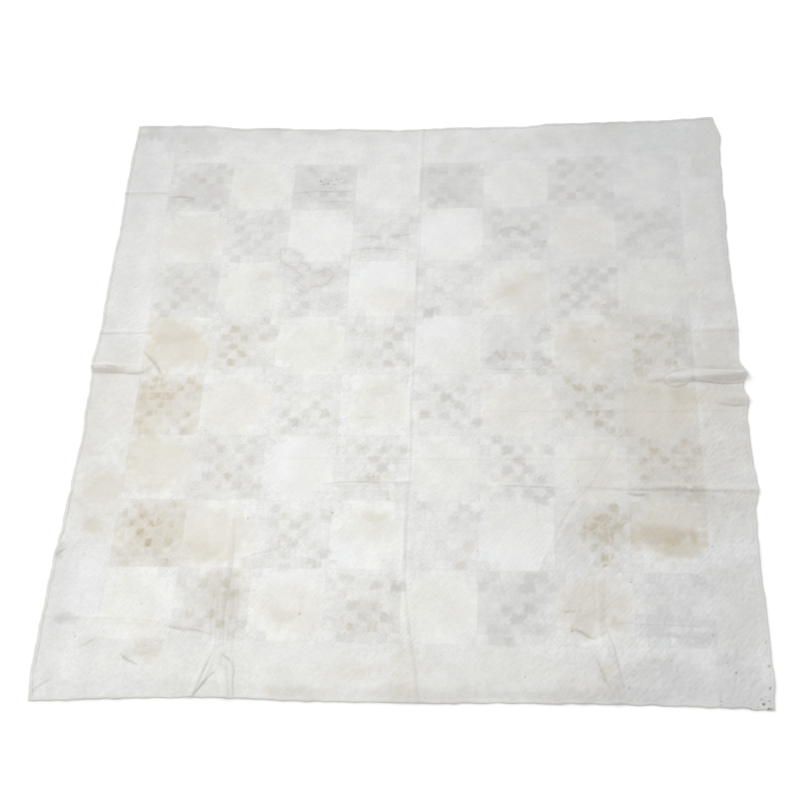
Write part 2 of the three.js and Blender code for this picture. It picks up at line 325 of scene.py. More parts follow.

# %% [markdown]
# The finer creases lie on and around the folds. Each is a path of a few points, which a smooth
# curve runs through, and it rises or sinks along it in a narrow bell. Each also darkens the cloth
# along it, by a value that is partly dirt, as old creases are dirty, and partly painted shade in
# the crease.

# %% Finer creases, as paths of a few points
CREASES = (
    # height, width, darkening (dirt and painted shade), then x, y of each point
    # the tuck at the left edge, and the crease where it ends
    (3, 11, 0, -1060, 40, -1000, 38, -955, 32),
    (3.4, 12, 0, -1060, 22, -980, 20, -900, 12, -866, 14),
    (-1.2, 5, 0.5, -1058, 31, -1000, 30, -955, 25),
    (-1.3, 6, 0.7, -1056, 13, -957, 8, -898, 4, -867, 11),
    (-1.6, 9, 0.75, -885, 90, -850, 54, -829, 28, -813, 2),
    (1.2, 9, 0, -876, 84, -842, 52, -820, 26),
    # the tucks at the right edge, and the wave that one ends in
    (3, 10, 0, 1060, 0, 1000, 6, 906, 12, 830, 20),
    (-0.8, 6, 0.2, 1050, 20, 960, 26, 870, 28),
    (-0.9, 5, 0.7, 1052, 15, 1000, 17, 940, 22, 875, 21),
    (-2.6, 8, 1.2, 1060, -28, 985, -33, 925, -27, 885, -24),
    (-1.4, 6, 1, 1050, -18, 1000, -22, 940, -20),
    (-1.6, 10, 0.8, 1060, -108, 1000, -112, 950, -104),
    (-0.8, 6, 0.3, 930, -150, 915, -172, 912, -200),
    (-1.2, 6, 0.75, 788, -23, 805, -40, 823, -46, 852, -40, 872, -27, 890, -21, 908, -28),
    (-1, 5, 0.7, 800, -34, 835, -26, 853, -28, 870, -24),
    (-0.7, 6, 0.45, 786, -20, 807, 0, 845, 16, 880, 20),
    (-0.7, 7, 0.45, 742, -30, 765, -26, 790, -22),
    # lines across the left border
    (-0.9, 6, 0.35, -1060, 158, -960, 160, -870, 162),
    (-0.9, 6, 0.45, -1060, 748, -980, 752, -885, 746),
    (-0.4, 5, 0.22, -1010, -830, -880, -829, -745, -833, -667, -849, -600, -857, -530, -872),
    (-0.6, 6, 0.8, -672, -851, -630, -858, -590, -860, -545, -872),
    # the fold across the middle
    (-1.1, 5, 0.55, -245, -390, -190, -383, -110, -383, 8, -384),
    (0.9, 6, 0, -215, -394, -120, -393, 0, -396),
    (-1.2, 5, 0.75, 278, -391, 350, -393, 445, -396),
    (-1, 6, 0.45, 541, -396, 667, -402, 876, -404, 1042, -404),
    (-0.6, 8, 0.8, 664, -414, 690, -419, 724, -417),
    (-0.4, 9, 0.4, 730, -404, 800, -396, 868, -410),
    (-0.5, 5, 0.22, -470, -300, -120, -303, 220, -303, 640, -302, 1040, -306),
    # shorter lines above it
    (-0.5, 5, 0.25, 220, -134, 445, -135, 700, -136, 860, -134, 1040, -128),
    (-0.7, 6, 0.4, -230, 492, -130, 498, -30, 486),
    (-0.9, 4, 0.5, -160, -156, -130, -158, -108, -157),
    (-0.7, 6, 0.4, 225, 24, 300, 18, 400, 20),
    (-0.6, 6, 0.5, -212, 545, -170, 549, -130, 547),
    (-0.6, 6, 0.5, -104, 546, -60, 550, -8, 562),
    # lines in the far row
    (-0.7, 6, 0.6, -440, 740, -370, 747, -300, 745, -240, 746),
    (-0.5, 6, 0.4, -340, 700, -290, 702, -240, 698),
    (-0.7, 7, 0.9, -886, 730, -850, 733, -800, 728),
    (-0.5, 8, 0.5, 270, 549, 290, 572, 315, 578, 340, 572, 356, 556),
    # the fold lengthways
    (-0.6, 5, 0.18, 8, 1040, 10, 600, 6, 200, 11, -250, 12, -700, 66, -1060),
    (-0.5, 5, 0.15, -8, 380, -9, 0, -5, -300),
    (0.6, 7, 0, 20, -450, 22, -600, 24, -760),
    # slanting pulls right of the middle
    (0.7, 8, 0, 640, -250, 592, -330, 552, -396),
    (-0.7, 5, 0.35, 625, -262, 585, -335, 549, -400),
    (1.7, 14, 0, 530, -440, 480, -520, 430, -600, 392, -668),
    (-0.8, 7, 0.22, 549, -400, 500, -450, 452, -548, 412, -640, 404, -690),
    (1.2, 10, 0, 600, -560, 560, -620, 530, -690),
    # the quarter fold on the left
    (-0.6, 5, 0.4, -508, -560, -506, -700, -512, -800, -505, -902),
    (-0.5, 5, 0.28, -532, -640, -536, -760, -528, -900),
    (-0.6, 4, 0.3, -494, -700, -490, -800, -497, -905),
    (-0.5, 4, 0.25, -548, -720, -552, -810, -543, -890),
    (-0.6, 4, 0.3, -478, -740, -474, -830, -482, -940),
    (-0.8, 6, 0.35, -480, -640, -440, -622, -380, -606, -350, -590),
    # two puckers that run off the near edge
    (1.7, 8, 0, -531, -908, -534, -955, -550, -1000, -572, -1046),
    (-0.9, 4, 0.4, -535, -930, -547, -964, -562, -1010, -576, -1052),
    (-1.8, 5, 1, -520, -982, -536, -997, -549, -1015, -567, -1040, -578, -1056),
    (-1.4, 6, 0.7, -508, -929, -489, -941, -472, -953),
    (-1.5, 5, 0.8, -472, -953, -465, -980, -466, -1008, -459, -1050),
    (-1, 7, 0.4, -506, -940, -505, -960, -490, -970),
    # the quarter fold on the right, and the pucker that it ends in
    (-0.6, 5, 0.25, 556, -670, 555, -719, 552, -821),
    (-0.6, 5, 0.25, 586, -680, 584, -718, 580, -820),
    (-0.8, 7, 0.5, 462, -785, 487, -788, 498, -782),
    (-1.6, 7, 0.85, 488, -838, 512, -846, 538, -862, 555, -866),
    (-1.4, 6, 0.5, 581, -821, 592, -855, 604, -888, 610, -915, 616, -942, 624, -985, 632, -1052),
    (2.2, 12, 0, 572, -870, 594, -915, 606, -955, 614, -1000),
    (-1.2, 6, 0.6, 554, -922, 566, -952, 577, -983, 597, -1024),
    (1.8, 7, 0, 558, -874, 574, -898, 594, -927),
    (1.6, 7, 0, 546, -900, 564, -922, 584, -942),
    # faint lines at the near right
    (-0.6, 5, 0.35, 586, -824, 636, -819, 700, -822, 763, -823, 880, -826),
    (-0.5, 9, 0.15, 700, -850, 800, -856, 880, -866),
    # small nicks at the corners and edges
    (-1.4, 7, 0.5, -1046, -1056, -1020, -1030, -990, -1012),
    (-0.9, 6, 0.5, -928, -916, -908, -906, -888, -893),
    (-1.8, 5, 1, -802, -934, -782, -950, -746, -966),
    (-0.5, 7, 0.3, -762, -926, -740, -932, -712, -926),
    (-1.2, 6, 0.6, -1050, 940, -1040, 960, -1044, 985),
    (-1.2, 5, 0.8, -1046, -632, -1032, -618, -1016, -608),
)
print(f"{len(CREASES)} creases, {sum(crease[0] > 0 for crease in CREASES)} of them raised")

# %% Smooth curves, and distances from them
CURVE_STEPS = 6


def through(points):
    """A smooth curve through the points: Catmull-Rom pieces, each in CURVE_STEPS short chords."""
    p = np.array(points, dtype=float)
    p = np.vstack([2 * p[0] - p[1], p, 2 * p[-1] - p[-2]])
    t = (np.arange(CURVE_STEPS) / CURVE_STEPS)[:, None]
    pieces = []
    for a, b, c, d in zip(p, p[1:], p[2:], p[3:]):
        pieces.append(
            0.5 * (2 * b + (c - a) * t + (2 * a - 5 * b + 4 * c - d) * t**2
                   + (3 * b - a - 3 * c + d) * t**3)
        )
    return np.vstack(pieces + [p[-2][None]])


def off_path(x, y, curve):
    """Distance from a curve of chords, and the share of the way along it, for each place."""
    distance = np.full(x.shape, np.inf)
    share = np.zeros(x.shape)
    for k, ((ax, ay), (bx, by)) in enumerate(zip(curve, curve[1:])):
        dx, dy = bx - ax, by - ay
        t = np.clip(((x - ax) * dx + (y - ay) * dy) / (dx * dx + dy * dy), 0, 1)
        here = np.hypot(x - ax - t * dx, y - ay - t * dy)
        nearer = here < distance
        distance = np.where(nearer, here, distance)
        share = np.where(nearer, (k + t) / (len(curve) - 1), share)
    return distance, share

# %% Relief of the creases
END_SHARE = 0.35
DARKENING_POWER = 1.5


def crease_relief(x, y):
    """Height and darkening of the creases, dirt and painted shade: a bell (1 - q^2)^2 across each
    path, thinned to its ends.
    """
    height, darkening = np.zeros_like(x), np.zeros_like(x)
    for high, width, dirt_and_shade, *path in CREASES:
        curve = through(np.reshape(path, (-1, 2)))
        low, top = curve.min(axis=0) - width, curve.max(axis=0) + width
        close = (x > low[0]) & (x < top[0]) & (y > low[1]) & (y < top[1])
        if not close.any():
            continue
        distance, share = off_path(x[close], y[close], curve)
        q = np.minimum(distance / width, 1)
        ends = END_SHARE + (1 - END_SHARE) * np.sin(np.pi * np.clip(share, 0.02, 0.98)) ** 0.5
        height[close] += high * ends * (1 - q * q) ** 2
        darkening[close] = np.maximum(darkening[close], dirt_and_shade * ends * (1 - q) ** DARKENING_POWER)
    return height, darkening


tuck_height, tuck_dirt_and_shade = crease_relief(np.array([960.0]), np.array([-31.0]))
print(f"the lip of the right tuck: {-tuck_height[0]:.1f} mm deep, grime {tuck_dirt_and_shade[0]:.2f}")

# %% [markdown]
# ## Seams and quilting
#
# Each seam pulls the top down into a narrow valley. Over the whole quilt run hand-quilted lines, half
# an inch apart and slanting, with a second set that crosses them. Between the lines the batting
# puffs up. The distance from the lines, counted in spacings, is kept as a vertex attribute as well:
# the cloth materials draw the single stitches from it, so stitches and puffs always agree.

# %% Quilting lines
QUILT_PITCH = 12.7
LINE_SLANT = math.radians(50)
CROSS_SLANT = math.radians(-48)
LINE_STRAY = ((0.45, 170), (0.28, 45))


def line_count(x, y, slant, seed):
    """Distance from the first quilting line in spacings: across * x + along * y, gone astray."""
    straight = (x * math.sin(slant) - y * math.cos(slant)) / QUILT_PITCH
    return straight + ragged(x, y, LINE_STRAY, seed)

# %% Seams
SEAM_DEPTH = 0.16
BORDER_SEAM_DEPTH = 0.25
BOUND_SEAM_DEPTH = 0.12
SEAM_HALF_WIDTH = 3.4


def valley(distance, depth):
    """A seam's cross section: depth * exp(-(distance / half width)^2)."""
    return depth * np.exp(-((distance / SEAM_HALF_WIDTH) ** 2))


def to_nearest(value, spacing):
    """Distance to the nearest multiple of the spacing, counted from the patchwork's corner."""
    steps = (value + CENTRE_HALF) / spacing
    return np.abs(steps - np.round(steps)) * spacing


def is_pieced(u, v):
    """Blocks take turns: pieced where column and row, from the far left, add up to even."""
    column = np.floor((u + CENTRE_HALF) / BLOCK)
    row = np.floor((CENTRE_HALF - v) / BLOCK)
    return (column + row) % 2 == 0


def seam_relief(u, v):
    """Valleys on the block seams, on the patch seams of pieced blocks, and round the patchwork."""
    inside = (np.abs(u) < CENTRE_HALF - 1) & (np.abs(v) < CENTRE_HALF - 1)
    patch = np.minimum(to_nearest(u, PATCH), to_nearest(v, PATCH))
    block = np.minimum(to_nearest(u, BLOCK), to_nearest(v, BLOCK))
    drop = np.where(inside & is_pieced(u, v), valley(patch, SEAM_DEPTH), 0)
    drop = np.maximum(drop, np.where(inside, valley(block, SEAM_DEPTH), 0))
    side_seam = valley(np.abs(np.abs(u) - CENTRE_HALF), BORDER_SEAM_DEPTH)
    cross_seam = valley(np.abs(np.abs(v) - CENTRE_HALF), BORDER_SEAM_DEPTH)
    cross_seam = np.where(np.abs(u) <= CENTRE_HALF, cross_seam, 0)
    bound = INNER_EDGE - np.maximum(np.abs(u), np.abs(v))
    return np.maximum.reduce([drop, side_seam, cross_seam, valley(bound, BOUND_SEAM_DEPTH)])

# %% Puffs, pebbles and crinkle
PUFF = 0.50
CROSS_PUFF = 0.34
PUFF_POWER = 0.8
CRINKLE = 0.5
CRINKLE_SIZE = 46
PEBBLE = 0.55
PEBBLE_SIZE = 9.5
FULLER_ON_BORDER = 0.5
FULLER_RIGHT = 1.1
FULL_FROM, FULL_OVER = 700, 1700
DRAWN_IN, DRAWN_IN_RIGHT, DRAWN_IN_UNEVEN = 0.7, 0.4, 0.3
BROKEN, BROKEN_UNEVEN = 0.7, 0.5


def quilting_relief(x, y):
    """Puffs |sin| high between the lines of one set, lowered a little at the lines of the other,
    with pebbles of batting on them, which are fullest on the borders and at the near right."""
    main = np.abs(np.sin(np.pi * line_count(x, y, LINE_SLANT, 31)))
    cross = np.abs(np.sin(np.pi * line_count(x, y, CROSS_SLANT, 41)))
    drawn_in = DRAWN_IN + DRAWN_IN_RIGHT * blend((x - 100) / 700)
    drawn_in += DRAWN_IN_UNEVEN * uneven(x, y, 240, 51)
    on_border = blend((np.maximum(np.abs(x), np.abs(y)) - CENTRE_HALF + 40) / 80)
    broken = BROKEN + BROKEN_UNEVEN * uneven(x, y, 34, 52)
    puffs = broken * (PUFF * main**PUFF_POWER + CROSS_PUFF * cross**PUFF_POWER)
    fullest = blend((x + FULL_FROM) / FULL_OVER) * blend((FULL_FROM - y) / FULL_OVER)
    pebbles = PEBBLE * (1 + FULLER_ON_BORDER * on_border + FULLER_RIGHT * fullest)
    pebbles *= crumpled(x - 0.3 * y, y + 0.3 * x, PEBBLE_SIZE, 65, 2)
    crinkle = CRINKLE * crumpled(x, y, CRINKLE_SIZE, 61)
    return drawn_in * (puffs + pebbles) + crinkle - 0.5 * PUFF

# %% Height of the face
LEAST_HEIGHT = 1.2


def top_height(u, v, x, y):
    """The face of the quilt over the floor: all of its reliefs together, in mm."""
    creases, darkening = crease_relief(x, y)
    lifted = THICKNESS + batting_wave(x, y) + fold_height(x, y) + creases
    height = lifted + quilting_relief(x, y) - seam_relief(u, v)
    return np.maximum(height, LEAST_HEIGHT), darkening


at = np.linspace(-CENTRE_HALF, CENTRE_HALF, 400)
middle, _ = top_height(at, 0 * at, *place(at, 0 * at))
print(f"the middle line of the face lies {middle.min():.1f} to {middle.max():.1f} mm high")

# %% [markdown]
# ## What age has done to the colour, and painted shade
#
# The stains are part of this quilt's character, so each is placed one by one. They are counted in
# hundredths of a block from the far left corner of the patchwork, as one would point them out: 250
# across and 350 down is the middle of the third block of the fourth row. A blot is an uneven oval.
# Most blots stay inside their block, because one fabric has turned and its neighbour has not; the
# others have spread over the seams. One of these, under the left tuck, is painted shade. Each vertex
# gets four amounts: tan, brown, grey and clean.

# %% Blots
BLOTS = (
    # across, down, half across, half down, tan, brown, grey, clean, turn
    # all in hundredths, the turn in degrees; what is left out at the end is 0
    (50, 50, 55, 55, 10, 16, 30), (175, 60, 20, 30, 10), (248, 45, 58, 58, 0, 8, 22),
    (350, 50, 40, 40, 5, 0, 3), (450, 50, 58, 58, 4, 12, 20), (548, 55, 42, 40, 16, 0, 4),
    (648, 50, 58, 58, 24, 8, 5), (750, 50, 60, 60, 14, 0, 12), (45, 150, 46, 46, 50, 0, 5),
    (150, 150, 58, 58, 0, 2, 14), (345, 150, 58, 58, 0, 0, 10), (550, 145, 58, 58, 0, 4, 8),
    (652, 150, 46, 48, 52, 3), (750, 145, 60, 58, 26, 8, 4), (45, 250, 52, 56, 12, 8, 14),
    (150, 250, 44, 42, 22), (171, 226, 10, 9, 14, 10), (250, 260, 58, 48, 0, 3, 2),
    (366, 274, 40, 26, 34, 2, 0, 0, 15), (445, 250, 56, 58, 0, 3, 3), (550, 262, 48, 40, 62, 4),
    (540, 256, 38, 10, 12, 8, 0, 0, 32), (650, 250, 56, 56, 22, 8, 3), (50, 350, 52, 48, 80, 6),
    (48, 336, 34, 8, 10, 6, 0, 0, 8), (134, 344, 20, 42, 16, 8), (152, 350, 50, 50, 10, 8, 5),
    (250, 352, 48, 48, 28, 0, 4), (340, 350, 45, 55, 0, 6, 12), (470, 375, 30, 26, 22),
    (530, 360, 30, 20, 0, 6, 12), (560, 340, 40, 40, 0, 8, 8), (650, 352, 52, 52, 58, 8),
    (655, 330, 28, 12, 12, 14, 0, 0, 20), (756, 352, 56, 55, 55, 20), (50, 450, 56, 56, 44, 16),
    (30, 435, 34, 30, 10, 10), (152, 450, 48, 44, 42), (250, 450, 55, 55, 0, 4, 2, 14),
    (362, 445, 32, 44, 28, 3), (360, 427, 26, 6, 8, 10), (450, 450, 55, 55, 0, 6, 6),
    (550, 450, 50, 46, 55), (645, 445, 34, 42, 10, 8), (642, 345, 10, 38, 5, 12, 0, 0, 20),
    (776, 450, 13, 44, 10, 16), (742, 436, 10, 20, 10, 14, 0, 0, -20), (650, 450, 56, 56, 18, 4),
    (750, 450, 54, 52, 90, 14), (780, 433, 12, 14, 20, 30), (737, 427, 26, 8, 10, 24, 0, 0, -10),
    (46, 546, 46, 48, 66, 2), (150, 550, 50, 55, 5, 8, 6), (263, 550, 24, 38, 24),
    (366, 560, 15, 34, 10, 10), (335, 550, 45, 50, 0, 3, 4), (455, 550, 45, 42, 16),
    (550, 550, 52, 55, 10, 5, 3), (655, 552, 46, 46, 50, 2), (750, 550, 56, 56, 60, 24),
    (50, 648, 56, 58, 50, 15), (48, 642, 42, 24, 20, 12, 0, 0, -40), (146, 652, 56, 42, 58, 2),
    (250, 650, 55, 55, 0, 4, 2, 16), (358, 634, 36, 28, 28, 3), (355, 624, 26, 8, 10, 12, 0, 0, -6),
    (450, 650, 55, 50, 0, 2, 0, 16), (486, 662, 9, 9, 55, 16), (476, 692, 8, 7, 55, 16),
    (550, 640, 42, 32, 12), (660, 670, 8, 34, 10, 34), (640, 640, 46, 46, 10, 12, 12),
    (745, 647, 54, 12, 120, 62, 0, 0, -6), (770, 662, 26, 15, 100, 42, 0, 0, -4),
    (752, 634, 56, 40, 95, 18), (780, 646, 10, 6, 10, 30), (45, 745, 44, 42, 20),
    (162, 734, 22, 36, 34, 12), (150, 752, 52, 46, 12, 13, 12), (255, 758, 46, 38, 42),
    (248, 766, 20, 10, 16, 10), (360, 760, 34, 34, 14, 6), (345, 745, 50, 48, 0, 10, 14),
    (450, 750, 46, 45, 30), (548, 752, 52, 50, 0, 12, 20), (650, 746, 46, 42, 80, 4),
    (644, 766, 30, 16, 22, 10, 0, 0, 12), (745, 750, 60, 60, 0, 0, 10),
    (746, 762, 60, 4, 0, 4, 20, 0, -3), (750, 784, 42, 5, 0, 4, 20, 0, 3),
    (345, 225, 46, 30, 0, 0, 0, 50), (245, 150, 46, 46, 0, 0, 0, 30), (445, 145, 46, 46, 0, 0, 0, 35),
    (430, 320, 40, 22, 0, 0, 0, 40), (245, 540, 40, 44, 0, 0, 0, 60), (245, 706, 48, 16, 0, 0, 0, 60),
    (320, 680, 24, 18, 0, 0, 0, 50), (545, 672, 46, 24, 0, 0, 0, 45), (630, 712, 20, 10, 0, 0, 0, 50),
    (686, 712, 12, 12, 0, 0, 0, 55), (740, 688, 46, 12, 0, 0, 0, 50),
)
SPREAD_BLOTS = (
    (130, 52, 40, 40, 34), (755, 255, 55, 50, 36), (40, 495, 34, 10, 12, 14),
    (716, 588, 13, 3.5, 0, 55, 15), (770, 586, 46, 7, 12, 30, 10, 0, -3),
    (820, 596, 26, 10, 10, 24, 12, 0, -10), (130, 680, 24, 14, 24, 3), (663, 637, 26, 19, 80, 35),
    (812, 630, 16, 34, 30, 4), (66, 816, 22, 12, 12, 14, 10), (68, 796, 18, 24, 26, 3),
    (-8, 805, 14, 7, 0, 10, 14), (-28, 610, 34, 50, 44, 3), (-34, 640, 13, 9, 10, 18, 5),
    (-30, 586, 26, 20, 26), (-65, 676, 4, 12, 0, 20, 30), (-41, 773, 14, 8, 0, 12, 36),
    (350, 835, 26, 14, 26, 10), (262, 862, 30, 6, 14, 16, 5), (410, 836, 13, 28, 22, 8),
    (630, 850, 28, 14, 32, 8), (666, 844, 10, 28, 20, 26), (716, 820, 18, 9, 12, 12, 5, 0, 20),
    (500, 864, 170, 6, 16, 8, 12), (280, 834, 240, 30, 22), (600, 840, 140, 30, 20, 0, 6),
    (830, 427, 26, 24, 60, 12), (830, 385, 34, 34, 26, 3), (862, 326, 7, 20, 15, 42, 16),
    (840, 345, 26, 30, 36, 5), (835, 540, 36, 100, 40, 0, 4), (845, 220, 34, 190, 40, 0, 4),
    (835, 740, 40, 60, 34, 0, 20), (845, 440, 32, 55, 75, 3), (845, 340, 30, 45, 35),
    (640, -44, 50, 16, 30, 6), (840, -20, 26, 50, 26, 4), (835, 620, 34, 50, 20, 0, 6),
    (785, 848, 95, 34, 14, 0, 30), (30, -45, 60, 30, 6, 0, 22), (-38, 30, 46, 80, 0, 0, 16),
    (750, 470, 80, 180, 34), (660, 520, 60, 160, 16), (46, -40, 24, 24, 22, 3, 6),
    (230, -62, 30, 5, 3, 22, 15), (439, -38, 12, 20, 10, 14, 10), (570, -40, 50, 20, 12, 3, 8),
    (700, -60, 14, 10, 15, 36, 5), (160, -62, 10, 10, 10, 14, 8), (-60, -60, 20, 12, 12, 12),
    (860, -20, 26, 70, 20, 12, 26), (740, -72, 130, 10, 10, 10, 26), (872, 120, 10, 140, 12, 5, 28),
    (-55, 240, 28, 320, 4, 0, 15), (-60, 760, 24, 110, 0, 0, 24), (150, -60, 260, 16, 6, 0, 18),
    (780, -40, 120, 40, 10, 0, 10), (350, 862, 460, 10, 10, 0, 20), (-30, 180, 34, 130, 4, 0, 0, 10),
    (205, 192, 15, 12, 14, 0, 6), (246, 232, 24, 16, 16, 0, 6), (-36, 430, 36, 80, 36),
    # The blot at -55, 393 browns and darkens the near side of the left tuck: painted shade.
    (-55, 393, 26, 6, 20, 26, 10, 0, 2), (-30, 730, 30, 50, 0, 0, 0, 30),
    (105, 192, 16, 22, 0, 0, 0, 55), (95, 575, 14, 26, 0, 0, 0, 55), (112, 612, 18, 10, 0, 0, 0, 60),
    (135, 697, 46, 8, 0, 0, 0, 50), (192, 620, 10, 24, 0, 0, 0, 60), (608, 680, 14, 22, 0, 0, 0, 55),
    (760, 816, 30, 16, 0, 0, 0, 30), (260, 820, 50, 12, 0, 0, 0, 30),
)
print(f"{len(BLOTS)} blots inside one block, {len(SPREAD_BLOTS)} spread over seams")

# %% Cover of the blots
BLOT_END = 1.5
BLOT_RIM = 1.05
BLOT_RAGGED, BLOT_RAGGED_SIZE = 0.56, 95
BLOT_FRAYED, BLOT_FRAYED_SIZE = 0.26, 16
BLOT_SQUARE = 2.6
HUNDREDTHS = 100
TURN_AT = 8


def in_blocks(u, v):
    """Sewing coordinates as blocks across from the left and down from the far side."""
    return (u + CENTRE_HALF) / BLOCK, (CENTRE_HALF - v) / BLOCK


def blot_cover(across, down, fray, blot):
    """How far one blot covers each place: 1 in the middle of its oval, easing to 0 past its ragged
    rim. The oval is a little squared: the root of the sum of powers of the two distances."""
    a, d, half_a, half_d = np.array(blot[:4]) / HUNDREDTHS
    turn = math.radians(blot[TURN_AT]) if len(blot) > TURN_AT else 0
    c, s = math.cos(turn), math.sin(turn)
    da, dd = across - a, down - d
    r = np.abs((da * c - dd * s) / half_a) ** BLOT_SQUARE
    r = (r + np.abs((da * s + dd * c) / half_d) ** BLOT_SQUARE) ** (1 / BLOT_SQUARE)
    return blend((BLOT_END - r + fray) / BLOT_RIM)


def blot_marks(u, v):
    """Sum of all the blots at each place; those in BLOTS are cut off at their block's seams."""
    across, down = in_blocks(u, v)
    fray = BLOT_RAGGED * crumpled(u, v, BLOT_RAGGED_SIZE, 71)
    fray += BLOT_FRAYED * uneven(u, v, BLOT_FRAYED_SIZE, 75)
    block_across, block_down = np.floor(across), np.floor(down)
    marks = np.zeros(u.shape + (4,))
    for blots, inside_block in ((BLOTS, True), (SPREAD_BLOTS, False)):
        for blot in blots:
            cover = blot_cover(across, down, fray, blot)
            if inside_block:
                column, row = blot[0] // HUNDREDTHS, blot[1] // HUNDREDTHS
                cover = cover * (block_across == column) * (block_down == row)
            amounts = np.array(blot[4:TURN_AT]) / HUNDREDTHS
            marks[..., :len(amounts)] += cover[..., None] * amounts
    return marks
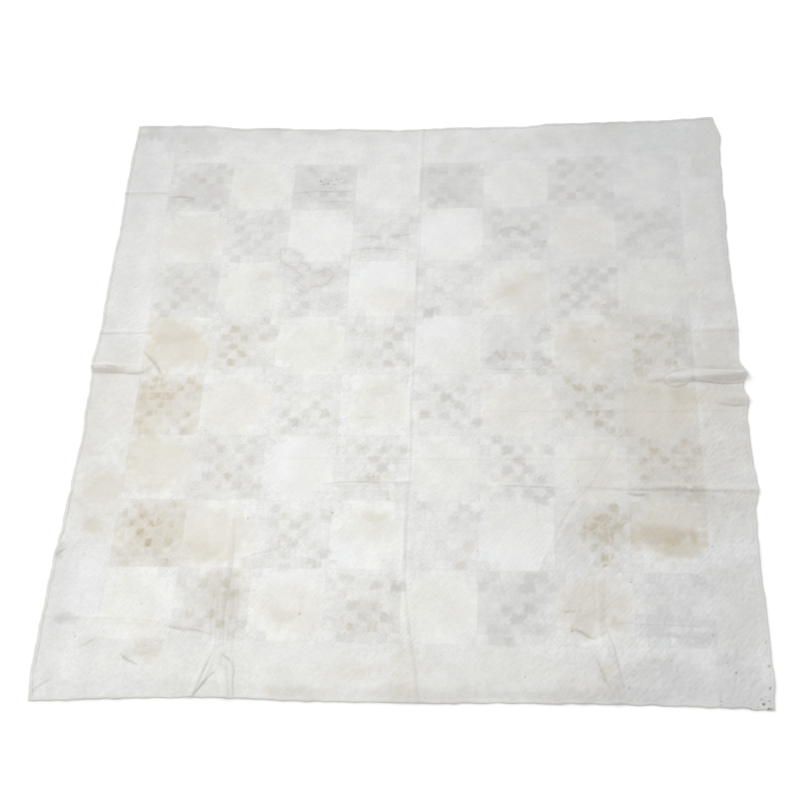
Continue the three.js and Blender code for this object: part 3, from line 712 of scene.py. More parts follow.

# %% [markdown]
# In the pieced blocks single patches have worn more than their neighbours: their brown print has
# bled and turned. Here too each is given one by one, counted in patches from the middle of the far
# left patch of its block, with how worn it is in hundredths. A worn patch is a soft square, a little
# ragged, and in each block its stain is a mixture of brown and grey.

# %% Worn patches
WORN_PATCHES = {
    # block across, down, share of brown: (patches across, down, how worn)
    (0, 0, 60): (
        (1, 2, 75), (3, 2, 40), (5.2, 2.4, 45), (0.3, 4.7, 55), (2, 4.8, 80), (1.2, 5.6, 30),
        (5.1, 6, 50), (2, 1.4, 35), (0.5, 1, 25), (5, 0, 30)),
    (2, 0, 30): (
        (1.2, 0.2, 40), (5, 0.2, 40), (2.9, 2.2, 45), (5.3, 2.1, 40), (1.4, 4.1, 45), (3, 4.1, 50),
        (5, 4.1, 50), (4.1, 5.6, 40), (6, 5.6, 30), (1.4, 3, 25)),
    (4, 0, 40): (
        (1, 0.6, 55), (2, 0.5, 35), (4.6, 0.5, 40), (5.4, 0.3, 40), (2, 3.8, 40), (1, 4.3, 40),
        (3.1, 4.6, 45), (1.8, 5.4, 60), (1, 6.3, 35), (5, 2.5, 30), (3, 3, 25), (4, 5.5, 30)),
    (6, 0, 70): (
        (1, 0.4, 65), (2, 0.5, 40), (5, 0, 50), (4.3, 1, 35), (5.8, 1, 45), (5, 2.2, 60),
        (1.5, 1.5, 35), (0.7, 4, 50), (3, 4, 35), (2, 5, 45), (0, 5.3, 35), (6, 5, 60), (4, 5, 35),
        (1, 2.2, 35)),
    (1, 1, 40): (
        (1, 2, 40), (5.6, 1, 40), (4.2, 1.3, 30), (1.6, 3.7, 45), (4.2, 3, 50), (3.3, 3.6, 30),
        (2.5, 5, 30), (4, 5.2, 25), (1, 6, 25), (1, 0.2, 25)),
    (3, 1, 20): (
        (2, 3.3, 35), (4.2, 3.2, 50), (5, 2.9, 25), (1, 5, 35), (2.5, 4.9, 35), (6, 1, 35),
        (5, 0.4, 25)),
    (5, 1, 70): (
        (1, 0.3, 45), (2, 3, 70), (2.6, 2.5, 45), (3.4, 2.6, 40), (4, 3, 50), (5, 2, 55),
        (5.5, 4.4, 65), (3, 4.5, 40), (0.5, 3, 30)),
    (7, 1, 60): (
        (0.3, 0.9, 35), (2, 0.9, 55), (4.2, 0.7, 35), (5.5, 1.8, 60), (5, 2.3, 55), (2.5, 2.6, 50),
        (1.5, 3.5, 45), (1, 4.3, 45), (4, 2.3, 35), (5.5, 6, 40), (4, 4.6, 35), (3.4, 2.4, 35)),
    (0, 2, 40): (
        (1, 0.2, 35), (5.4, 0.3, 35), (5.8, 1, 40), (2, 1.2, 50), (1, 1.8, 30), (3, 1.8, 35),
        (2, 3.2, 65), (4, 3.2, 65), (3, 4, 50), (2.3, 4.9, 50), (0.2, 5, 50), (1, 6, 50), (5.3, 6, 35)),
    (2, 2, 20): (
        (4, 4.5, 30), (4, 5.4, 35), (2.3, 5, 35), (1.3, 6.2, 35), (6, 1, 25)),
    (4, 2, 40): (
        (2, 3.3, 50), (1.8, 5.8, 50), (1, 6.2, 70), (0.2, 5.6, 30), (4.5, 5, 20), (4.6, 0.4, 30)),
    (6, 2, 50): (
        (2, 1, 65), (4, 1.1, 60), (6, 1, 70), (3, 2, 45), (4.8, 2, 45), (2.2, 3.1, 50), (4, 3, 45),
        (1, 4.4, 50), (3, 4.5, 45), (2.2, 5.2, 60), (4.2, 5.2, 50), (5.7, 5.2, 55), (5, 6.3, 40),
        (0.8, 6.3, 40)),
    (1, 3, 60): (
        (1, 0, 40), (2, 1, 70), (0, 1, 30), (1.2, 2.1, 65), (3, 2, 65), (5, 2, 40), (6, 1.5, 30),
        (2, 3.3, 65), (1.2, 4.2, 75), (3, 4, 75), (2, 5, 75), (0.5, 5.4, 35), (1.2, 6.1, 35)),
    (3, 3, 50): (
        (0.3, 1.4, 40), (4, 1.3, 50), (6, 1.2, 45), (5, 1.9, 55), (4, 3, 40), (5.2, 4.4, 50),
        (4.2, 5.2, 60), (6.2, 5, 50), (2.5, 5.4, 35), (2, 1.7, 25)),
    (5, 3, 60): (
        (1.5, 4.3, 100), (0.9, 4.5, 40), (3.2, 4.4, 50), (5.2, 4.4, 65), (6, 5.1, 55), (5.5, 6.2, 60),
        (5.9, 1.4, 50), (5, 2.5, 35), (2, 5.8, 35), (0.5, 5, 40), (3.2, 6.4, 40)),
    (7, 3, 90): (
        (1.3, 0.2, 30), (5.3, 0.3, 50), (4.2, 1.1, 60), (1.2, 2.2, 60), (3, 2.2, 70), (5.3, 1.6, 70),
        (5.4, 2.5, 60), (4.5, 3.2, 60), (5.3, 4, 70), (1.2, 4, 50), (1, 5, 65), (2, 5, 50),
        (4.2, 5.2, 70), (6, 5, 50), (1.3, 6.2, 50)),
    (0, 4, 75): (
        (1.4, 0.1, 55), (5, 0.2, 45), (2.2, 0.8, 35), (4, 1.2, 40), (6, 1.2, 35), (1.3, 2, 60),
        (3.1, 2, 90), (5.2, 2.1, 55), (2.2, 3, 50), (1.3, 3.8, 50), (3.2, 4, 40), (5.2, 4, 40),
        (0.5, 4.7, 60), (1.4, 6.1, 55), (5.3, 6, 70), (0.2, 0.8, 35)),
    (2, 4, 40): (
        (0.3, 1.2, 45), (5, 2, 35), (4.2, 3, 50), (1.2, 4, 55), (3.2, 4, 50), (5.2, 4, 65),
        (2.3, 5, 60), (4.1, 5.2, 50), (6.2, 5, 40), (1.3, 5.8, 40), (5.3, 6.4, 35), (2.1, 1.8, 25)),
    (4, 4, 40): (
        (2.3, 1, 40), (3.2, 2.2, 75), (0.5, 2, 40), (2.5, 3, 35), (4.5, 3.2, 40), (6.2, 5, 65),
        (4.2, 5.3, 40), (4.5, 1.3, 30), (6, 1.5, 30), (1, 4.2, 40), (3, 4.3, 30)),
    (6, 4, 80): (
        (1.2, 0.3, 35), (5.2, 0.2, 45), (2.2, 1.2, 85), (4.2, 1.2, 85), (0.3, 1.5, 30), (6.3, 1.5, 45),
        (3.2, 2, 45), (5, 2, 50), (2.4, 3.2, 65), (4, 3.3, 45), (1.2, 4.1, 55), (3.2, 4, 90),
        (5, 4.1, 70), (4.2, 5.2, 70), (6.6, 5.9, 50), (5.3, 5.9, 40)),
    (1, 5, 45): (
        (1.2, 0.2, 55), (5.2, 0, 40), (2.2, 1, 35), (1.2, 2.3, 35), (5.3, 2.2, 50), (2.2, 3, 60),
        (4.2, 3.1, 55), (3.2, 4, 65), (1.4, 4, 40), (5, 4.2, 45), (2.3, 5.2, 35), (4.2, 5, 45),
        (6, 5.1, 65), (5.2, 6, 50), (1.2, 6, 30)),
    (3, 5, 40): (
        (4.3, 1, 45), (6.2, 1.1, 50), (2.2, 1, 30), (3.3, 2.1, 50), (5.2, 2.1, 40), (4.2, 3, 65),
        (2.4, 4.2, 50), (3.3, 4.3, 65), (4.3, 5.8, 60), (6, 6, 35), (1, 0, 25)),
    (5, 5, 30): (
        (1.3, 0, 40), (2.3, 1, 55), (4.2, 1, 35), (6, 1, 40), (3.3, 2.2, 50), (2.2, 3.2, 50),
        (4.2, 3, 45), (5.3, 4.2, 60), (3.3, 4.2, 35), (2.3, 5.6, 40), (4.2, 5.6, 45), (6.2, 5.5, 50),
        (5.3, 6.4, 50)),
    (7, 5, 90): (
        (1.3, 0.2, 50), (5, 0.3, 60), (4.3, 1, 55), (2.2, 1.3, 50), (0.1, 1, 50), (6.2, 1, 60),
        (1.2, 2.1, 60), (3.3, 2.2, 40), (5.3, 2.2, 70), (4.3, 3, 55), (2, 3.2, 45), (1.3, 4, 50),
        (5.2, 4, 65), (4.3, 5.3, 60), (6, 5.2, 60), (5.4, 6, 60)),
    (0, 6, 75): (
        (1.3, 0.2, 50), (5.3, 0, 35), (0.4, 1, 55), (2.2, 1.2, 65), (4.2, 1.1, 45), (6.1, 1.2, 50),
        (1.3, 2.1, 80), (3.2, 2, 70), (2.2, 3, 100), (5.3, 2.2, 40), (3.2, 4, 60), (5.2, 4, 50),
        (4.2, 5.2, 70), (1, 4.4, 30), (0.5, 5.2, 35), (1.4, 6.2, 35), (5.4, 6, 70)),
    (2, 6, 40): (
        (1.2, 0.3, 50), (1, 1.9, 40), (2.3, 1.2, 35), (4.3, 1.2, 35), (6.2, 1.4, 40), (3.2, 2.1, 55),
        (2.3, 3.4, 45), (1.3, 4.1, 45), (3.3, 4, 45), (5.2, 4.2, 40), (2.3, 5, 35), (6.2, 5, 50),
        (4.4, 5.7, 40), (5.4, 6, 55), (2.5, 6.4, 45)),
    (4, 6, 20): (
        (1.7, 0.1, 25), (5.2, 0.2, 45), (6.1, 1, 35), (4.2, 1.4, 25), (1.6, 6.2, 25)),
    (6, 6, 100): (
        (5, 0.2, 60), (4.2, 1.2, 80), (6, 1.2, 60), (4.2, 2.3, 70), (3, 2.3, 70), (5.3, 2.2, 120),
        (4.3, 3.2, 100), (5.3, 4, 50), (6.2, 3.3, 50), (4.3, 5.3, 70), (3.2, 4, 40), (3.6, 1.6, 50)),
    (1, 7, 50): (
        (2, 1.2, 35), (4.3, 1.2, 50), (5.1, 2.1, 50), (4.5, 2.4, 45), (1.2, 4.2, 40), (3.4, 4, 50),
        (4.3, 5, 50), (5.2, 4.6, 50), (5.2, 5.8, 50), (2.2, 5, 40), (1, 6, 35)),
    (3, 7, 40): (
        (1.4, 0.4, 35), (4.2, 1, 45), (6.2, 1.3, 80), (2.2, 3, 65), (4.4, 3.2, 45), (5.3, 4.1, 85),
        (3.2, 4.2, 40), (2.3, 5.1, 50), (1.3, 6, 40), (5.3, 0.3, 25)),
    (5, 7, 30): (
        (4.2, 0.2, 50), (5.3, 0.2, 40), (4, 1.1, 60), (3, 1, 40), (6.2, 1, 35), (1.3, 1.2, 30),
        (2.2, 3.3, 40), (4.2, 3.1, 40), (3.1, 4, 70), (5.2, 5, 40), (2.3, 6.2, 50), (0.8, 5, 35)),
    (7, 7, 10): (
        (5.3, 0.2, 40), (2, 3.5, 25), (3.6, 5.7, 30), (5, 5.7, 35), (6.2, 5.6, 30), (1.2, 5, 25)),
}
print(f"{sum(map(len, WORN_PATCHES.values()))} worn patches in {len(WORN_PATCHES)} blocks")

# %% Marks of the worn patches
WORN_ACROSS, WORN_DOWN = 0.55, 0.46
WORN_SQUARE = 6
WORN_END, WORN_RIM = 1.2, 0.6
WORN_RAGGED = ((0.34, 11), (0.26, 5.5))
WORN_LEFT, WORN_RIGHT = 0.62, 1.45
WIDE_LEFT, WIDE_RIGHT = 0.95, 1.20
WORN_BROWN = 0.70
WORN_GREY = 0.68
LEAST_BROWN = 0.15
PATCH_MIDDLE = 0.5
MIDDLE_PATCH = PATCHES_PER_BLOCK // 2
WORN_WITHIN = 4.4


def worn_patch_marks(u, v):
    """Brown and grey on single patches: 1 over most of a patch, easing to 0 at its ragged rim. The
    square is the sixth root of the sum of sixth powers of the two distances."""
    x, y = (u + CENTRE_HALF) / PATCH, (CENTRE_HALF - v) / PATCH
    fray = ragged(u, v, WORN_RAGGED, 77)
    marks = np.zeros(u.shape + (2,))
    for (across, down, brown), patches in WORN_PATCHES.items():
        block_x = across * PATCHES_PER_BLOCK + PATCH_MIDDLE
        block_y = down * PATCHES_PER_BLOCK + PATCH_MIDDLE
        off_middle = np.maximum(np.abs(x - block_x - MIDDLE_PATCH), np.abs(y - block_y - MIDDLE_PATCH))
        near = off_middle < WORN_WITHIN
        if not near.any():
            continue
        share, to_right = brown / HUNDREDTHS, across / (BLOCKS - 1)
        dyes = np.array([
            WORN_BROWN * (LEAST_BROWN + (1 - LEAST_BROWN) * share),
            WORN_GREY * (1 - share),
        ])
        dyes *= WORN_LEFT + (WORN_RIGHT - WORN_LEFT) * to_right
        wide = WIDE_LEFT + (WIDE_RIGHT - WIDE_LEFT) * to_right
        for patch_x, patch_y, worn in patches:
            dx = np.abs(x[near] - block_x - patch_x) / (WORN_ACROSS * wide)
            dy = np.abs(y[near] - block_y - patch_y) / (WORN_DOWN * wide)
            r = (dx**WORN_SQUARE + dy**WORN_SQUARE) ** (1 / WORN_SQUARE) + fray[near]
            cover = worn / HUNDREDTHS * blend((WORN_END - r) / WORN_RIM)
            marks[near] += cover[:, None] * dyes
    return marks

# %% [markdown]
# One mark is a water stain with a dark tide line round it. Its rim is a closed curve through a few
# points, and the line is darkest where the water stopped. Small dark specks lie all over the quilt,
# thickest in the near right corner; the ones that catch the eye are listed, and the rest are strewn.

# %% Places of the water stain and the specks
WATER_STAIN = (
    (1.90, 1.83), (2.01, 1.77), (2.22, 1.89), (2.25, 1.99), (2.34, 2.10), (2.39, 2.19),
    (2.51, 2.22), (2.66, 2.14), (2.72, 2.17), (2.73, 2.28), (2.60, 2.46), (2.45, 2.47),
    (2.34, 2.55), (2.19, 2.40), (2.22, 2.28), (2.16, 2.19), (2.04, 2.07), (1.91, 2.01),
    (1.88, 1.92), (1.90, 1.83),
)
SPECKS = (
    # across, down, radius in mm, how dark
    (8.57, 8.66, 3.6, 0.9), (8.63, 8.71, 3.2, 0.9), (8.54, 8.61, 2.6, 0.7), (8.60, 8.57, 2.4, 0.7),
    (8.49, 8.69, 2.2, 0.6), (8.39, 8.72, 2.2, 0.6), (8.65, 8.62, 2.8, 0.7), (8.11, 8.18, 3.4, 0.5),
    (7.96, 7.83, 2.6, 0.5), (7.98, 8.70, 2.4, 0.5), (7.99, 8.65, 2.5, 0.5), (7.43, 8.16, 2.5, 0.5),
    (8.66, 8.47, 3, 0.6), (8.68, 8.20, 2.5, 0.6), (8.66, 7.90, 2.5, 0.5), (6.62, 3.44, 3.6, 0.6),
    (6.59, 3.40, 2.2, 0.4), (1.87, 6.28, 2.6, 0.5), (3.02, 6.18, 3, 0.8), (6.96, 7.13, 3, 0.5),
    (0.18, -0.22, 2.5, 0.5), (2.42, 0.36, 4, 0.55), (2.47, 0.44, 3.5, 0.5), (2.55, 0.42, 4, 0.45),
    (2.60, 0.34, 3.5, 0.5), (2.68, 0.32, 3.5, 0.55), (2.74, 0.30, 3.5, 0.45), (2.80, 0.38, 3, 0.4),
    (2.50, 0.30, 3, 0.5), (2.64, 0.44, 3, 0.4), (5.15, -0.40, 3, 0.4), (7.98, 2.30, 3, 0.45),
    (8.15, 2.02, 3, 0.4), (7.96, 1.02, 2.5, 0.4), (0.55, 7.52, 2.5, 0.3), (2.69, 7.63, 3, 0.4),
    (6.20, 7.80, 4, 0.6), (0.69, 8.08, 3, 0.4), (-0.26, 7.98, 3, 0.4), (8.30, 6.20, 3, 0.4),
    (8.10, 1.40, 2.5, 0.4), (2.96, 3.78, 3, 0.4), (8.04, 6.62, 2.5, 0.5), (8.16, 6.60, 2.5, 0.5),
    (8.02, 7.20, 2.5, 0.4), (8.22, 8.30, 3, 0.5), (7.70, 8.50, 2.5, 0.4), (5.60, 8.40, 2.5, 0.4),
)

# %% Marks of the water stain
STAIN_MARGIN = 0.18
TIDE_WIDTH = 7.0
TIDE_GRIME = 0.15
WET_GRIME = 0.06
WET_WIDTH = 1.5 * TIDE_WIDTH
WANDER, WANDER_SIZE = 9, 26
SHIVER, SHIVER_SIZE = 4, 9


def tide_mark(u, v):
    """Grime from the stain's rim: a line, max(0, 1 - distance / width), in a fainter, wider one."""
    across, down = in_blocks(u, v)
    curve = through(WATER_STAIN)
    x = across * BLOCK + WANDER * uneven(u, v, WANDER_SIZE, 81)
    y = down * BLOCK + WANDER * uneven(u, v, WANDER_SIZE, 82)
    x = x + SHIVER * uneven(u, v, SHIVER_SIZE, 83)
    y = y + SHIVER * uneven(u, v, SHIVER_SIZE, 84)
    low, high = curve.min(axis=0) - STAIN_MARGIN, curve.max(axis=0) + STAIN_MARGIN
    near = (across > low[0]) & (across < high[0]) & (down > low[1]) & (down < high[1])
    darkening = np.zeros_like(u)
    if near.any():
        distance, _ = off_path(x[near], y[near], curve * BLOCK)
        darkening[near] = TIDE_GRIME * np.clip(1 - distance / TIDE_WIDTH, 0, 1)
        darkening[near] += WET_GRIME * blend(2 - distance / WET_WIDTH)
    return darkening

# %% Marks of the specks
STREWN = 110
STREWN_FROM, STREWN_TO = -0.7, 8.7
STREWN_RADIUS = (1.4, 2.6)
STREWN_GRIME = 0.35
SPECK_FLATNESS = 1.2
SPECK_RAGGED = ((0.35, 6),)
SPECK_END, SPECK_RIM = 1.35, 0.7


def speck_marks(u, v):
    """1 inside each speck, easing to 0 over the last third of its radius."""
    rng = np.random.default_rng(91)
    strewn = np.column_stack([
        rng.uniform(STREWN_FROM, STREWN_TO, STREWN),
        rng.uniform(STREWN_FROM, STREWN_TO, STREWN),
        rng.uniform(*STREWN_RADIUS, STREWN),
        np.full(STREWN, STREWN_GRIME),
    ])
    darkening = np.zeros_like(u)
    for across, down, radius, dark in [*SPECKS, *strewn]:
        x, y = across * BLOCK - CENTRE_HALF, CENTRE_HALF - down * BLOCK
        near = (np.abs(u - x) < 3 * radius) & (np.abs(v - y) < 3 * radius)
        if near.any():
            r = np.hypot(u[near] - x, (v[near] - y) * SPECK_FLATNESS) / radius
            r += ragged(u[near], v[near], SPECK_RAGGED, 92)
            cover = dark * blend((SPECK_END - r) / SPECK_RIM)
            darkening[near] = np.maximum(darkening[near], cover)
    return darkening


print(f"{len(SPECKS)} specks placed and {STREWN} strewn")

# %% [markdown]
# Everything else goes by place, not by stain: the right and far parts are greyer, partly from soil
# and partly as painted shade where the light falls off, each patch is browner on a ring where the
# seam allowances lie under it, and the dye has gone beside the patch seams, where the cloth rubs.
# The creases are darker with dirt and painted shade, and the lower side of the binding with painted
# shade. The last function adds all of it up.

# %% All marks of age together, with the painted shade
# Greyer towards the right and the far side: partly soil, partly painted shade where the light falls
# off.
SIDE_GREY_AND_SHADE, SIDE_FROM, SIDE_OVER = 0.66, 2.3, 7.2
FAR_GREY_AND_SHADE, FAR_TO, FAR_OVER = 0.32, 5, 7
CLOUD_GREY, CLOUD_SIZE = 0.08, 130
RIM_LEAST, RIM_MORE = 0.85, 0.35
RIM_AT, RIM_WIDTH = 0.68, 0.30
RIM_RAGGED = ((0.45, 15), (0.2, 7))
WORN_REACH = 0.30
SEAM_RAGGED = ((0.14, 13), (0.08, 6))
# Darkening and browning along the creases: partly dirt, partly painted shade in the crease.
CREASE_DIRT_AND_SHADE = 0.35
CREASE_BROWN_AND_SHADE = 0.25
SEAM_GRIME = 0.03
MOST_MARK, MOST_DARKENING = 2, 1.2


def on_pieced(u, v):
    """True on the pieced blocks, False on the plain ones and on the borders."""
    return is_pieced(u, v) & (np.maximum(np.abs(u), np.abs(v)) < CENTRE_HALF)


def patch_rim(u, v):
    """1 on a ragged ring round each patch, where the folded seam allowances lie under it, easing
    to 0 at its middle and at its seams."""
    x, y = to_nearest(u + PATCH / 2, PATCH), to_nearest(v + PATCH / 2, PATCH)
    r = np.hypot(x, y) / (PATCH / 2) + ragged(u, v, RIM_RAGGED, 97)
    return np.exp(-(((r - RIM_AT) / RIM_WIDTH) ** 2))


def worn_seam(u, v):
    """How far the dye has gone beside the patch seams: 1 at a seam, easing to 0 a third of a patch
    away from it, ragged. Nothing outside of the pieced blocks."""
    off_seam = np.minimum(to_nearest(u, PATCH), to_nearest(v, PATCH)) / PATCH
    off_seam += ragged(u, v, SEAM_RAGGED, 99)
    return on_pieced(u, v) * blend(1 - off_seam / WORN_REACH)


def age_marks(u, v, crease_dirt_and_shade, edge_shade=0.0):
    """Tan, brown, grey and clean at each place, all in one array, and the darkening of fine lines:
    grime, with painted shade in the creases and on the binding's lower side.
    """
    marks = blot_marks(u, v)
    across, down = in_blocks(u, v)
    marks[..., 1:3] += worn_patch_marks(u, v)
    marks[..., 1] *= np.where(on_pieced(u, v), RIM_LEAST + RIM_MORE * patch_rim(u, v), 1)
    # Brown on the creases and grey to the right and far side: partly dirt, partly painted shade.
    marks[..., 1] += CREASE_BROWN_AND_SHADE * crease_dirt_and_shade
    marks[..., 2] += SIDE_GREY_AND_SHADE * blend((across - SIDE_FROM) / SIDE_OVER)
    marks[..., 2] += FAR_GREY_AND_SHADE * blend((FAR_TO - down) / FAR_OVER)
    marks[..., 2] += CLOUD_GREY * crumpled(u, v, CLOUD_SIZE, 95)
    # Darkening: the tide line, the specks, dirt and painted shade on the creases, and painted shade on
    # the binding.
    darkening = np.maximum(crease_dirt_and_shade * CREASE_DIRT_AND_SHADE, tide_mark(u, v))
    darkening = np.maximum(np.maximum(darkening, speck_marks(u, v)), edge_shade)
    darkening += SEAM_GRIME * seam_relief(u, v) / BORDER_SEAM_DEPTH
    return np.clip(marks, 0, MOST_MARK), np.clip(darkening, 0, MOST_DARKENING)


marks, darkening = age_marks(at, 0 * at, 0 * at)
print("mean tan, brown, grey and clean along the middle:", marks.mean(axis=0).round(2))

# %% [markdown]
# ## Cloth materials
#
# Seven cottons and the binding tape share one recipe. The base colour is the washed-out ground; a
# faint print, where the cloth has one, is what is left of its pattern. Then the age marks, some of
# them painted shade, are laid over it: each cloth takes them in its own measure, and the brown print
# has turned most. The bump holds what is too fine for the mesh: the weave, the crinkle and the single
# stitches.

# %% Small helpers for building a material's nodes
LIGHT_ON_CLOTH = 1.12
DOT_RANDOMNESS = 0.55


def as_seen(red, green, blue):
    """The reflectance that shows as this 0 to 255 colour on level cloth in this scene's light."""
    srgb = np.array([red, green, blue]) / 255
    linear = np.where(srgb < 0.04045, srgb / 12.92, ((srgb + 0.055) / 1.055) ** 2.4)
    return (*(linear / LIGHT_ON_CLOTH), 1.0)


class Recipe:
    """A material and short ways to add nodes to it. Inputs may be sockets or plain values."""

    def __init__(self, name):
        """An empty material with its Principled shader."""
        self.material = bpy.data.materials.new(name)
        self.material.use_nodes = True
        self.tree = self.material.node_tree
        self.shader = self.tree.nodes["Principled BSDF"]

    def connect(self, value, socket):
        """A link from a socket, or a plain value set on the input itself."""
        if isinstance(value, bpy.types.NodeSocket):
            self.tree.links.new(value, socket)
        else:
            socket.default_value = value

    def number(self, operation, first, second=0.0, third=0.0):
        """One Math node."""
        node = self.tree.nodes.new("ShaderNodeMath")
        node.operation = operation
        for socket, value in zip(node.inputs, (first, second, third)):
            self.connect(value, socket)
        return node.outputs[0]

    def mix(self, share, under, over, way="MIX"):
        """One Mix node for colours: under where share is 0, over where it is 1."""
        node = self.tree.nodes.new("ShaderNodeMix")
        node.data_type = "RGBA"
        node.blend_type = way
        self.connect(share, node.inputs[0])
        self.connect(under, node.inputs[6])
        self.connect(over, node.inputs[7])
        return node.outputs[2]

    def step(self, value, low, high, out_low=0.0, out_high=1.0):
        """One Map Range node that eases from out_low to out_high as value goes from low to high."""
        node = self.tree.nodes.new("ShaderNodeMapRange")
        node.interpolation_type = "SMOOTHSTEP"
        for name, setting in (("Value", value), ("From Min", low), ("From Max", high),
                              ("To Min", out_low), ("To Max", out_high)):
            self.connect(setting, node.inputs[name])
        return node.outputs["Result"]

    def attribute(self, name, output="Fac"):
        """One Attribute node that reads what finish_mesh stored under that name."""
        node = self.tree.nodes.new("ShaderNodeAttribute")
        node.attribute_name = name
        return node.outputs[output]

    def split(self, vector):
        """The three numbers of a vector."""
        node = self.tree.nodes.new("ShaderNodeSeparateXYZ")
        self.connect(vector, node.inputs[0])
        return node.outputs

    def place(self):
        """Object coordinates in metres: the cloth lies flat, so they run along its threads."""
        return self.tree.nodes.new("ShaderNodeTexCoord").outputs["Object"]

    def noise(self, size, detail=2.0, rough=0.5):
        """Noise whose blobs are about that many millimetres wide."""
        node = self.tree.nodes.new("ShaderNodeTexNoise")
        self.connect(self.place(), node.inputs["Vector"])
        node.inputs["Scale"].default_value = 1 / (size * MM)
        node.inputs["Detail"].default_value = detail
        node.inputs["Roughness"].default_value = rough
        return node.outputs["Fac"]

    def cloudy(self, size, detail, least, most, rough=0.5, spread=0.2):
        """Noise eased to a value from least to most; a small spread makes the steps harder."""
        value = self.noise(size, detail, rough)
        return self.step(value, 0.5 - spread, 0.5 + spread, least, most)

    def dots(self, spacing):
        """Distance from scattered points about that many millimetres apart, in spacings."""
        node = self.tree.nodes.new("ShaderNodeTexVoronoi")
        self.connect(self.place(), node.inputs["Vector"])
        node.inputs["Scale"].default_value = 1 / (spacing * MM)
        node.inputs["Randomness"].default_value = DOT_RANDOMNESS
        return node.outputs["Distance"]

# %% [markdown]
# The weave is two sets of sine waves at right angles, one for the warp and one for the weft. The
# stitches come from the line count on the mesh: near a whole number there is a quilting line, and
# along it the count of the crossing set tells where each stitch begins and ends.

# %% Weave and stitches
THREAD_PITCH = 0.62
STITCHES_BETWEEN_LINES = 4
GROOVE_WIDTH = 0.17
STITCH_WIDTH = 0.045
WEAVE_HEIGHT = 0.035
GROOVE_DEPTH = 0.14
CROSS_GROOVE_DEPTH = 0.6 * GROOVE_DEPTH
STITCH_HEIGHT = 0.12
STITCH_SHARE = 0.55
FINE_CRINKLE = 0.24
FINER_CRINKLE = 0.16
# Painted shade in the hollows of the fine crinkle, and painted light on its tops.
HOLLOW_SHADE_PAINT = 0.011


def weave(recipe):
    """0 to 1 over each crossing of warp and weft: half of 1 + sin x * sin y."""
    x, y, _ = recipe.split(recipe.place())
    turns = 2 * math.pi / (THREAD_PITCH * MM)
    warp = recipe.number("SINE", recipe.number("MULTIPLY", x, turns))
    weft = recipe.number("SINE", recipe.number("MULTIPLY", y, turns))
    return recipe.number("MULTIPLY_ADD", recipe.number("MULTIPLY", warp, weft), 0.5, 0.5)


def stitched_line(recipe, count, along):
    """The groove round one set of lines, and the stitches lying in it."""
    off_line = recipe.number("PINGPONG", count, 0.5)
    groove = recipe.step(off_line, 0.0, GROOVE_WIDTH, 1.0, 0.0)
    run = recipe.number("FRACT", recipe.number("MULTIPLY", along, STITCHES_BETWEEN_LINES))
    thread = recipe.number("LESS_THAN", run, STITCH_SHARE)
    close = recipe.step(off_line, STITCH_WIDTH * 0.6, STITCH_WIDTH, 1.0, 0.0)
    return groove, recipe.number("MULTIPLY", thread, close)

# %% [markdown]
# The recipe goes as the real cloth did, with painted shade laid in. First the scrap fades towards a
# pale ground, in clouds and most of all beside its seams, and its print fades with it. Its crinkle
# gets painted shade in the hollows. Then the stains are laid on one after the other; the grey is
# partly painted shade, and a print takes brown by its own thirst. Grime, with painted shade in it,
# and the stitching thread come last. Each number pair like 15, 3 below is the size of a cloud in
# millimetres and how finely it is broken up.

# %% Colours of the stains, and of the painted shade
TAN = (221, 214, 201)
BROWN = (188, 171, 130)
PALE = (238, 239, 236)
BESIDE_SEAM = (231, 231, 229)
# The grey is soil and painted shade where the light falls off; the grime colour is dirt and painted
# shade.
GREY_AND_SHADE = (196, 197, 198)
CLEAN = (243, 244, 246)
GRIME_AND_SHADE = (122, 108, 92)
THREAD_COLOUR = (238, 237, 233)

# %% Colour of a cloth, layer by layer
MOST_FADED = 0.95
PRINT_LOST = 0.7
RUBBED = 0.6
DYES = (
    # name, dye, its place in takes, the most that it covers
    ("clean", CLEAN, 3, 0.7),
    ("tan", TAN, 0, 0.85),
    ("brown", BROWN, 1, 0.9),
    ("grey_and_shade", GREY_AND_SHADE, 2, 0.8),
)


def faded_ground(recipe, ground, worn, print_colour, print_size, print_share):
    """The scrap's colour under its stains: its ground, faded towards PALE, then its print."""
    wear = recipe.cloudy(15, 3, 0.45, 1.35, rough=0.6)
    faded = recipe.number("MULTIPLY", recipe.attribute("patch_fade"), wear)
    faded = recipe.number("MINIMUM", faded, MOST_FADED)
    colour = recipe.mix(faded, as_seen(*ground), as_seen(*PALE))
    colour = recipe.mix(recipe.number("MULTIPLY", worn, RUBBED), colour, as_seen(*BESIDE_SEAM))
    if print_colour:
        motif = recipe.step(recipe.dots(print_size), 0.22, 0.48, print_share, 0.0)
        left = recipe.number("MULTIPLY_ADD", faded, -PRINT_LOST, 1.0)
        motif = recipe.number("MULTIPLY", motif, left)
        colour = recipe.mix(motif, colour, as_seen(*print_colour))
    return colour


